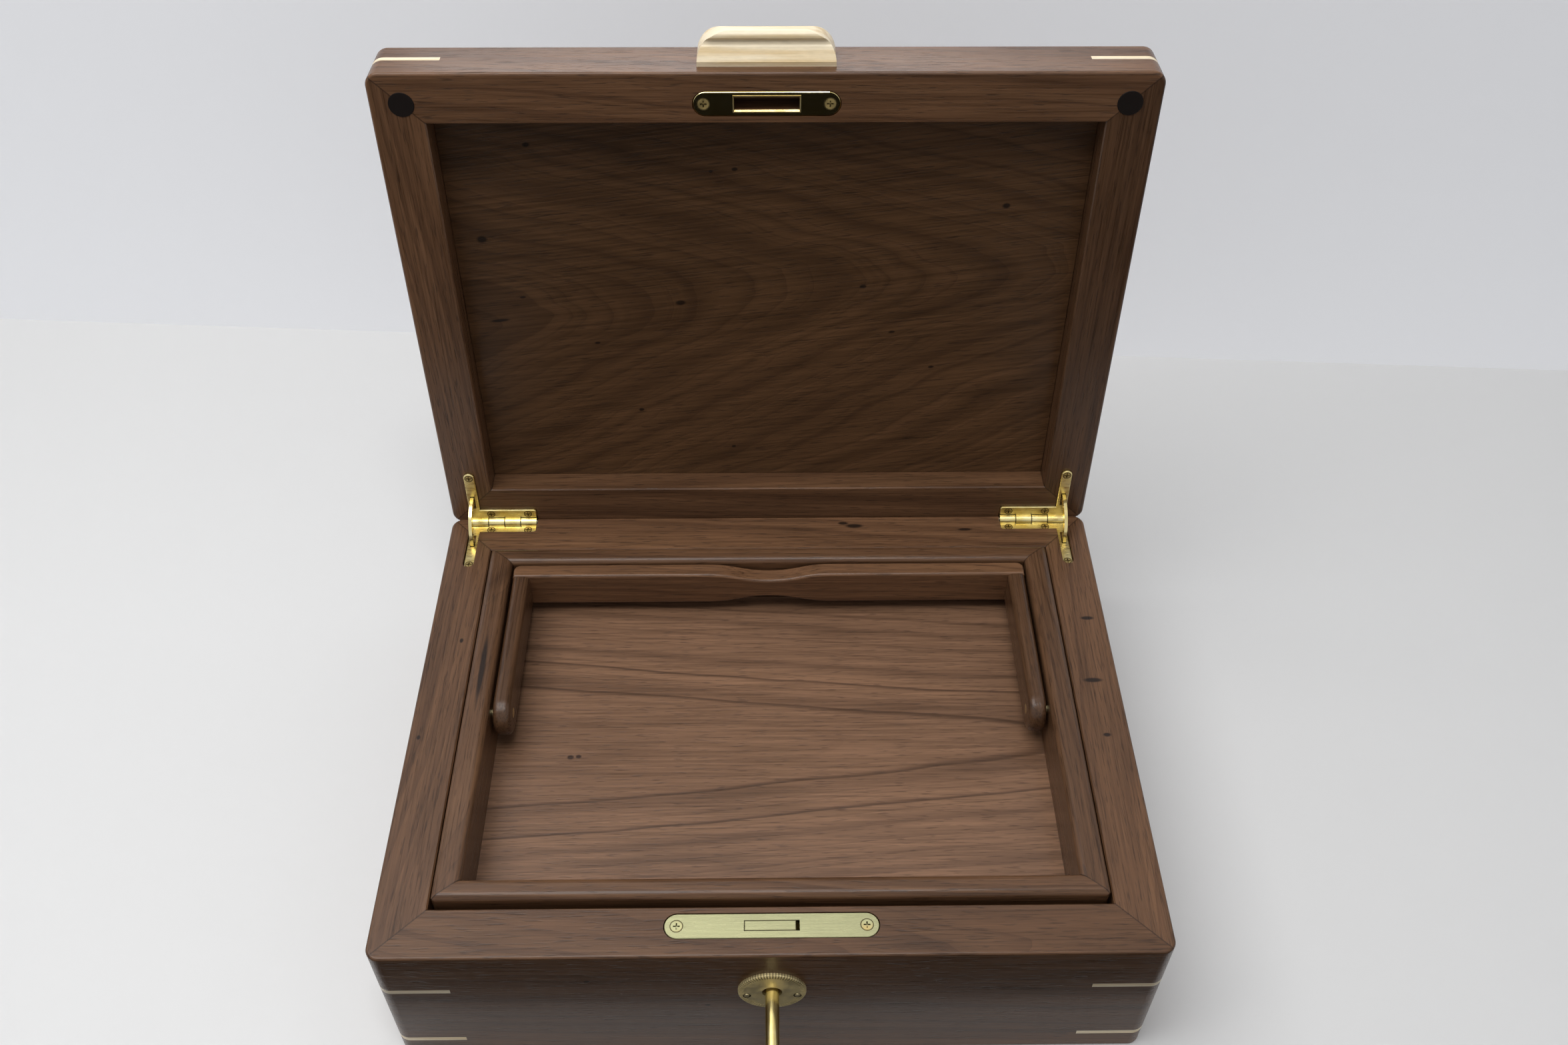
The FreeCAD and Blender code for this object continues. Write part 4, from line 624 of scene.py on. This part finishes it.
class WATCHBOX_OT_tray_boards(bpy.types.Operator):
    """Walnut for the tray's walls and floor"""

    bl_idname = "watchbox.tray_boards"
    bl_label = "Tray boards"

    def execute(self, context):
        look = context.scene.watch_box
        # The side walls' bright is partly their own tone and partly painted shade.
        walnut("tray_front", look.walls, heart=(700, 44, 37), taper=0.04, mitre=TRAY_FRONT)
        walnut("tray_back", look.walls, heart=(-640, 50, 41), taper=0.05, mitre=TRAY_BACK)
        walnut("tray_left", look.walls, turn=(0, 0, -90), heart=(820, 9, 26), taper=0.12, mitre=TRAY_LEFT,
               bright=0.9, knots=((-115.2, 18.4, 76.4, 22, 1.5),))
        walnut("tray_right", look.walls, turn=(0, 0, -90), heart=(-860, 48, 33), taper=-0.05, mitre=TRAY_RIGHT,
               bright=0.86)
        walnut("tray_floor", look.floor, heart=(0, 2.2, 14), taper=0.08, calm=26, lines=((26, 1.5), (38, 1.0)),
               knots=((-79.9, -8.3, 52.4, 1.8, 1.4), (-76.7, -8.0, 52.4, 1.5, 1.2)))
        return {"FINISHED"}


class WATCHBOX_OT_tray_handle(bpy.types.Operator):
    """Walnut for the tray's folding handle"""

    bl_idname = "watchbox.tray_handle"
    bl_label = "Tray handle"

    def execute(self, context):
        look = context.scene.watch_box.walls
        # The crossbar is painted paler and the arms darker: partly their own tone, partly painted light on the
        # crossbar and painted shade on the arms.
        walnut("handle_crossbar", look, heart=(930, 38, 45), taper=0.04, bright=1.25)
        walnut("handle_left_arm", look, turn=(0, 0, -90), heart=(400, 36, 60), taper=0.03, bright=0.75)
        walnut("handle_right_arm", look, turn=(0, 0, -90), heart=(-440, -42, 52), taper=0.03, bright=0.75)
        return {"FINISHED"}


class WATCHBOX_OT_maple_parts(bpy.types.Operator):
    """Maple for the pull and the mitre keys"""

    bl_idname = "watchbox.maple_parts"
    bl_label = "Pull and mitre keys"

    def execute(self, context):
        look = context.scene.watch_box.maple
        maple("lid_pull", look, turn=(LID_OPEN, 0, 0))
        maple("base_splines", look)
        maple("lid_splines", look, turn=(LID_OPEN, 0, 0))
        return {"FINISHED"}


class WATCHBOX_OT_hinges(bpy.types.Operator):
    """Polished brass for the quadrant hinges, their stays and screws"""

    bl_idname = "watchbox.hinges"
    bl_label = "Quadrant hinges"

    def execute(self, context):
        look = context.scene.watch_box.brass
        knuckle = (BARREL_END - HINGE_END) / KNUCKLES
        splits = [HINGE_END + number * knuckle for number in range(1, KNUCKLES)]
        leaf = brass("linished_brass.hinge_leaves", look.polished, look.deep, 0.3, (5, 0.6, 0.6), look.shade_and_joints,
                     splits=splits)
        polished = brass("buffed_brass.stays", look.polished, look.deep, 0.16, (5, 0.6, 0.6), look.shade_and_joints)
        for part, axis in (("base", UP), ("lid", LID_DOWN)):
            turned = brass(f"turned_brass.{part}_screws", look.aged, look.aged, 0.35, (3, 3, 3), look.shade_and_joints,
                           rings=heads(f"right_hinge_{part}_screws", axis))
            for side in ("left", "right"):
                dress(turned, f"{side}_hinge_{part}_screws")
                dress(leaf, f"{side}_hinge_{part}_leaf")
        dress(polished, *(f"{side}_hinge_{part}" for side in ("left", "right") for part in ("pin", "stay")))
        dress(brass("cut_brass.handle_pins", look.dull, look.dull, 0.35, (0.5, 0.5, 0.5), look.shade_and_joints),
              "handle_pins")
        return {"FINISHED"}


class WATCHBOX_OT_lock(bpy.types.Operator):
    """Brass for the lock, its plates and its key"""

    bl_idname = "watchbox.lock"
    bl_label = "Lock and key"

    def execute(self, context):
        look = context.scene.watch_box.brass
        low, high = (Vector(corner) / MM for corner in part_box("escutcheon"))
        cuts = ((low + high) / 2, (high.x - low.x) / 2 - CUTS_INSET, context.scene.watch_box.key_plate.count)
        rings = [(middle, KEY_PLATE_PIN_RADIUS + 0.2, axis)
                 for middle, _, axis in heads("escutcheon_pins", FORWARD)]
        points = [v.co / MM for v in frame["nodes"]["lock_bolt"].data.vertices]
        top = [p for p in points if p.z > max(q.z for q in points) - TOUCH]
        low, high = (Vector([limit(p[i] for p in top) for i in range(3)]) for limit in (min, max))
        rim = ((low + high) / 2, (high - low) / 2)
        dress(brass("linished_brass.lock_plate", look.satin, look.satin, 0.25, (14, 0.5, 0.5), look.shade_and_joints),
              "lock_selvedge")
        dress(brass("linished_brass.bolt", look.satin, look.satin, 0.25, (14, 0.5, 0.5), look.shade_and_joints, rim=rim),
              "lock_bolt")
        dress(brass("pressed_brass.lock_case", look.aged, look.deep, 0.38, (3, 3, 0.5), look.shade_and_joints),
              "lock_case", "lock_cap", "lock_key_pin", "lock_guide_studs")
        for node, axis, paint in (("lock_screws", UP, look.satin), ("striker_screws", LID_DOWN, look.aged)):
            dress(brass("turned_brass." + node, paint, look.aged, 0.45, (3, 3, 3), look.shade_and_joints,
                        rings=heads(node, axis)), node)
        dress(brass("milled_brass.key_plate", look.dull, look.dull, 0.6, (3, 3, 3), look.shade_and_joints, cuts, rings),
              "escutcheon")
        dress(brass("turned_brass.escutcheon_pins", look.dull, look.dull, 0.35, (3, 3, 3), look.shade_and_joints),
              "escutcheon_pins")
        dress(brass("buffed_brass.striker", look.polished, look.deep, 0.07, (6, 0.6, 0.6), look.shade_and_joints),
              "striker_plate")
        dress(brass("turned_brass.key", look.polished, look.deep, 0.2, (0.4, 4, 0.4), look.shade_and_joints), "key")
        return {"FINISHED"}


class WATCHBOX_OT_key_plate_ribs(bpy.types.Operator):
    """Radial ribs milled on the key plate's rim"""

    bl_idname = "watchbox.key_plate_ribs"
    bl_label = "Key plate ribs"

    def execute(self, context):
        look = context.scene.watch_box.key_plate
        low, high = (Vector(corner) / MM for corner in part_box("escutcheon"))
        radius = (high.x - low.x) / 2
        shape = bmesh.new()
        bmesh.ops.create_cube(shape, size=1)
        size = (look.width / MM, 2 * look.height / MM, look.length / MM)
        bmesh.ops.scale(shape, vec=size, verts=shape.verts)
        bmesh.ops.bevel(shape, geom=shape.edges[:], offset=BEVEL_SHARE * look.height / MM, segments=2,
                        profile=0.5, affect="EDGES", material=-1)
        out = radius - (look.margin + look.length / 2) / MM
        bmesh.ops.translate(shape, vec=(0, 0, out), verts=shape.verts)
        step = 2 * math.pi / look.count
        # The drawn cuts between the ribs are a quarter of a step off straight up.
        bmesh.ops.rotate(shape, matrix=Matrix.Rotation(-step / 4, 3, "Y"), verts=shape.verts)
        bmesh.ops.spin(shape, geom=shape.verts[:] + shape.edges[:] + shape.faces[:], axis=(0, 1, 0),
                       angle=step * (look.count - 1), steps=look.count - 1, use_duplicate=True)
        bmesh.ops.recalc_face_normals(shape, faces=shape.faces)
        middle = Vector(((low.x + high.x) / 2, low.y, (low.z + high.z) / 2))
        bmesh.ops.translate(shape, vec=middle, verts=shape.verts)
        new_piece("key_plate_ribs", shape, "base",
                  frame["nodes"]["escutcheon"].material_slots[0].material)
        return {"FINISHED"}


class WATCHBOX_OT_striker_lip(bpy.types.Operator):
    """Raised lip round the striker's slot"""

    bl_idname = "watchbox.striker_lip"
    bl_label = "Striker lip"

    def execute(self, context):
        look = context.scene.watch_box.lip
        shape = bmesh.new()
        bmesh.ops.create_grid(shape, x_segments=1, y_segments=1, size=0.5)
        bmesh.ops.scale(shape, vec=((look.length + 2 * look.width) / MM, (look.gap + 2 * look.width) / MM, 1),
                        verts=shape.verts)
        middle = shape.faces[:]
        for thickness in (look.width, look.ramp):
            bmesh.ops.inset_region(shape, faces=middle, thickness=thickness / MM, use_boundary=True,
                                   use_even_offset=True)
        # The bolt fills the slot's length, so the short sides slope only a fifth as far.
        inside = middle[0].verts[:]
        stretch = (look.length - 0.4 * look.ramp) / (look.length - 2 * look.ramp)
        bmesh.ops.scale(shape, vec=(stretch, 1, 1), verts=inside)
        bmesh.ops.translate(shape, vec=(0, 0, -look.depth / MM), verts=inside)
        bmesh.ops.delete(shape, geom=middle, context="FACES")
        raised = bmesh.ops.extrude_face_region(shape, geom=shape.faces[:])
        top = [part for part in raised["geom"] if isinstance(part, bmesh.types.BMVert)]
        bmesh.ops.translate(shape, vec=(0, 0, look.height / MM), verts=top)
        bmesh.ops.recalc_face_normals(shape, faces=shape.faces)
        rims = [edge for edge in shape.edges
                if set(edge.verts) <= set(top) and edge.calc_face_angle(0) > SHARP]
        bmesh.ops.bevel(shape, geom=rims, offset=BEVEL_SHARE * look.height / MM, segments=2, profile=0.5,
                        affect="EDGES", material=-1)
        place = Matrix.Translation((0, LOCK_MIDDLE, LID_UNDERSIDE)) @ Matrix.Rotation(math.pi, 4, "X")
        bmesh.ops.transform(shape, matrix=LID_TURN @ place, verts=shape.verts)
        paint = context.scene.watch_box.brass
        metal = brass("filed_brass.striker_lip", paint.aged, paint.dull, 0.38, (0.5, 0.5, 0.5), paint.shade_and_joints)
        new_piece("striker_slot_lip", shape, "lid", metal)
        return {"FINISHED"}


class WATCHBOX_OT_buffers(bpy.types.Operator):
    """Dark rubber for the lid's buffers"""

    bl_idname = "watchbox.buffers"
    bl_label = "Lid buffers"

    def execute(self, context):
        # Moulded rubber: nearly black, dull, with a faint grain of dust.
        look = context.scene.watch_box.buffer
        material, tree = new_material("moulded_rubber.buffers")
        place = add(tree, "TexCoord").outputs["Object"]
        dust = add(tree, "TexNoise", {"Vector": place, "Scale": 1 / RUBBER_DUST, "Detail": 3.0})
        shade = add(tree, "MapRange", {0: dust, **NOISE_SPAN, 3: 0.75, 4: 1.3})
        face = add(tree, "VectorMath", {0: tuple(look.face)[:3], "Scale": shade}, operation="SCALE")
        relief = add(tree, "Bump", {"Strength": 0.2, "Distance": 0.1 * MM, "Height": dust})
        rough = add(tree, "MapRange", {0: dust, **NOISE_SPAN, 3: 0.6, 4: 0.75})
        shader = add(tree, "BsdfPrincipled", {"Base Color": face, "IOR": 1.52, "Specular IOR Level": 0.15,
                                              "Roughness": rough, "Normal": relief})
        add(tree, "OutputMaterial", {"Surface": shader})
        dress(material, "lid_buffers")
        return {"FINISHED"}


class WATCHBOX_OT_stage(bpy.types.Operator):
    """Pale floor, soft lamps, plain surroundings and the camera"""

    bl_idname = "watchbox.stage"
    bl_label = "Stage"

    def card(self, name, half_size, place):
        """A flat card of the stage with its place in its mesh."""
        shape = bmesh.new()
        bmesh.ops.create_grid(shape, x_segments=1, y_segments=1, size=1.0)
        bmesh.ops.scale(shape, vec=(*half_size, 1.0), verts=shape.verts)
        bmesh.ops.transform(shape, matrix=place, verts=shape.verts)
        mesh = bpy.data.meshes.new(name)
        shape.to_mesh(mesh)
        shape.free()
        piece = bpy.data.objects.new(name, mesh)
        bpy.context.scene.collection.objects.link(piece)
        return piece

    def execute(self, context):
        scene, look = context.scene, context.scene.watch_box.stage
        scene.view_settings.view_transform = "Standard"

        # Painted board: pale and dull, with a little unevenness from the roller.
        floor = self.card("floor", FLOOR_HALF, Matrix.Identity(4))
        material, tree = new_material("rolled_paint.floor")
        place = add(tree, "TexCoord").outputs["Object"]
        roller = add(tree, "TexNoise", {"Vector": place, "Scale": 1 / PAINT_GRAIN, "Detail": 3.0})
        rough = add(tree, "MapRange", {0: roller, **NOISE_SPAN, 3: 0.5, 4: 0.62})
        # Far from the box, where the lamps fade, the floor runs into the pale background.
        away = add(tree, "VectorMath", {0: place}, operation="LENGTH")
        lit = add(tree, "MapRange", {0: away, 1: FLOOR_FADE[0], 2: FLOOR_FADE[1], 4: FLOOR_GLOW})
        lit = add(tree, "Math", {0: lit, 1: pale_rays(tree)}, operation="MULTIPLY")
        shader = add(tree, "BsdfPrincipled", {"Base Color": look.floor, "Roughness": rough,
                                              "Emission Color": look.floor, "Emission Strength": lit})
        add(tree, "OutputMaterial", {"Surface": shader})
        floor.data.materials.append(material)

        # Paint makes the wall pale and dull, and felt makes the flag swallow light. Both show on one side alone,
        # so that neither hides the box from the other side.
        turn = Matrix.Rotation(math.radians(WALL_YAW), 4, "Z") @ Matrix.Rotation(math.radians(90), 4, "X")
        wall = self.card("wall", WALL_HALF, Matrix.Translation((0, WALL_Y, WALL_HALF[1])) @ turn)
        flag = self.card("flag", FLAG_HALF, Matrix.Translation(FLAG_PLACE))
        flag.visible_camera = flag.visible_shadow = False
        for piece, name, paint, glow in ((wall, "rolled_paint.wall", look.wall, look.glow),
                                         (flag, "black_felt.flag", look.flag, 0.0)):
            material, tree = new_material(name)
            place = add(tree, "TexCoord").outputs["Object"]
            nap = add(tree, "TexNoise", {"Vector": place, "Scale": 1 / PAINT_GRAIN, "Detail": 3.0})
            rough = add(tree, "MapRange", {0: nap, **NOISE_SPAN, 3: 0.7, 4: 0.85})
            lit = add(tree, "Math", {0: pale_rays(tree), 1: glow}, operation="MULTIPLY")
            front = add(tree, "BsdfPrincipled", {"Base Color": paint, "Roughness": rough,
                                                 "Specular IOR Level": 0.0, "Emission Color": paint,
                                                 "Emission Strength": lit})
            back = add(tree, "BsdfTransparent")
            side = add(tree, "NewGeometry").outputs["Backfacing"]
            shader = add(tree, "MixShader", {0: side, 1: front, 2: back})
            add(tree, "OutputMaterial", {"Surface": shader})
            piece.data.materials.append(material)

        # Soft grey light from all round; the eye, metal and glass see a pale background.
        scene.world = scene.world or bpy.data.worlds.new("room")
        scene.world.use_nodes = True
        tree = scene.world.node_tree
        tree.nodes.clear()
        sky = add(tree, "Mix", {0: pale_rays(tree), 6: look.room, 7: look.far}, data_type="RGBA")
        room = add(tree, "Background", {"Color": sky, "Strength": 1.0})
        add(tree, "OutputWorld", {"Surface": room})

        for name, place, aim, size, spread, watts in (
                ("overhead_lamp", (-0.38, 0.02, 1.25), (0, 0, 0.1), (1.0, 1.0), 180, look.key_power),
                ("small_lamp", (0.15, -0.4, 1.6), (0, 0, 0.1), (0.2, 0.2), 180, look.small_power),
                ("edge_lamp", (0, 0.305, 0.37), (0, 0.128, 0.284), (0.34, 0.04), 69, look.edge_power)):
            lamp = bpy.data.lights.new(name, "AREA")
            lamp.shape, lamp.size, lamp.size_y, lamp.energy = "RECTANGLE", *size, watts
            lamp.spread = math.radians(spread)
            holder = bpy.data.objects.new(name, lamp)
            scene.collection.objects.link(holder)
            holder.visible_camera = False
            holder.location = place
            holder.rotation_euler = (Vector(aim) - Vector(place)).to_track_quat("-Z", "Y").to_euler()

        lens = bpy.data.cameras.new("photo_camera")
        lens.lens, lens.sensor_width, lens.clip_start = CAMERA_LENS, SENSOR_WIDTH, CLIP_START
        camera = bpy.data.objects.new("photo_camera", lens)
        scene.collection.objects.link(camera)
        yaw, pitch, roll = (math.radians(a) for a in CAMERA_TURN)
        ahead = Vector((math.sin(yaw) * math.cos(pitch), math.cos(yaw) * math.cos(pitch), -math.sin(pitch)))
        right = ahead.cross(UP).normalized()
        up = right.cross(ahead)
        right, up = (right * math.cos(roll) + up * math.sin(roll),
                     up * math.cos(roll) - right * math.sin(roll))
        turn = Matrix((right, up, -ahead)).transposed()
        camera.matrix_world = Matrix.Translation(Vector(CAMERA_PLACE) * MM) @ turn.to_4x4()
        scene.camera = camera
        return {"FINISHED"}


OPERATORS = (
    WATCHBOX_OT_base_boards,
    WATCHBOX_OT_lid_boards,
    WATCHBOX_OT_lid_panel,
    WATCHBOX_OT_tray_boards,
    WATCHBOX_OT_tray_handle,
    WATCHBOX_OT_maple_parts,
    WATCHBOX_OT_hinges,
    WATCHBOX_OT_lock,
    WATCHBOX_OT_key_plate_ribs,
    WATCHBOX_OT_striker_lip,
    WATCHBOX_OT_buffers,
    WATCHBOX_OT_stage,
)


class WATCHBOX_PT_looks(bpy.types.Panel):
    """Lists the operators that dress the watch box"""

    bl_idname = "WATCHBOX_PT_looks"
    bl_label = "Watch box"
    bl_space_type = "VIEW_3D"
    bl_region_type = "UI"
    bl_category = "Watch box"

    def draw(self, context):
        for operator in OPERATORS:
            self.layout.operator(operator.bl_idname)


CLASSES = (
    WallWalnutLook,
    PanelWalnutLook,
    FloorWalnutLook,
    MapleLook,
    BrassLook,
    KeyPlateLook,
    StrikerLipLook,
    BufferLook,
    StageLook,
    WatchBoxLook,
    *OPERATORS,
    WATCHBOX_PT_looks,
)


def register():
    for cls in CLASSES:
        bpy.utils.register_class(cls)
    bpy.types.Scene.watch_box = PointerProperty(type=WatchBoxLook)


def unregister():
    del bpy.types.Scene.watch_box
    for cls in reversed(CLASSES):
        bpy.utils.unregister_class(cls)


def main():
    register()
    for operator in OPERATORS:
        group, name = operator.bl_idname.split(".")
        getattr(getattr(bpy.ops, group), name)()


if __name__ == "__main__":
    main()
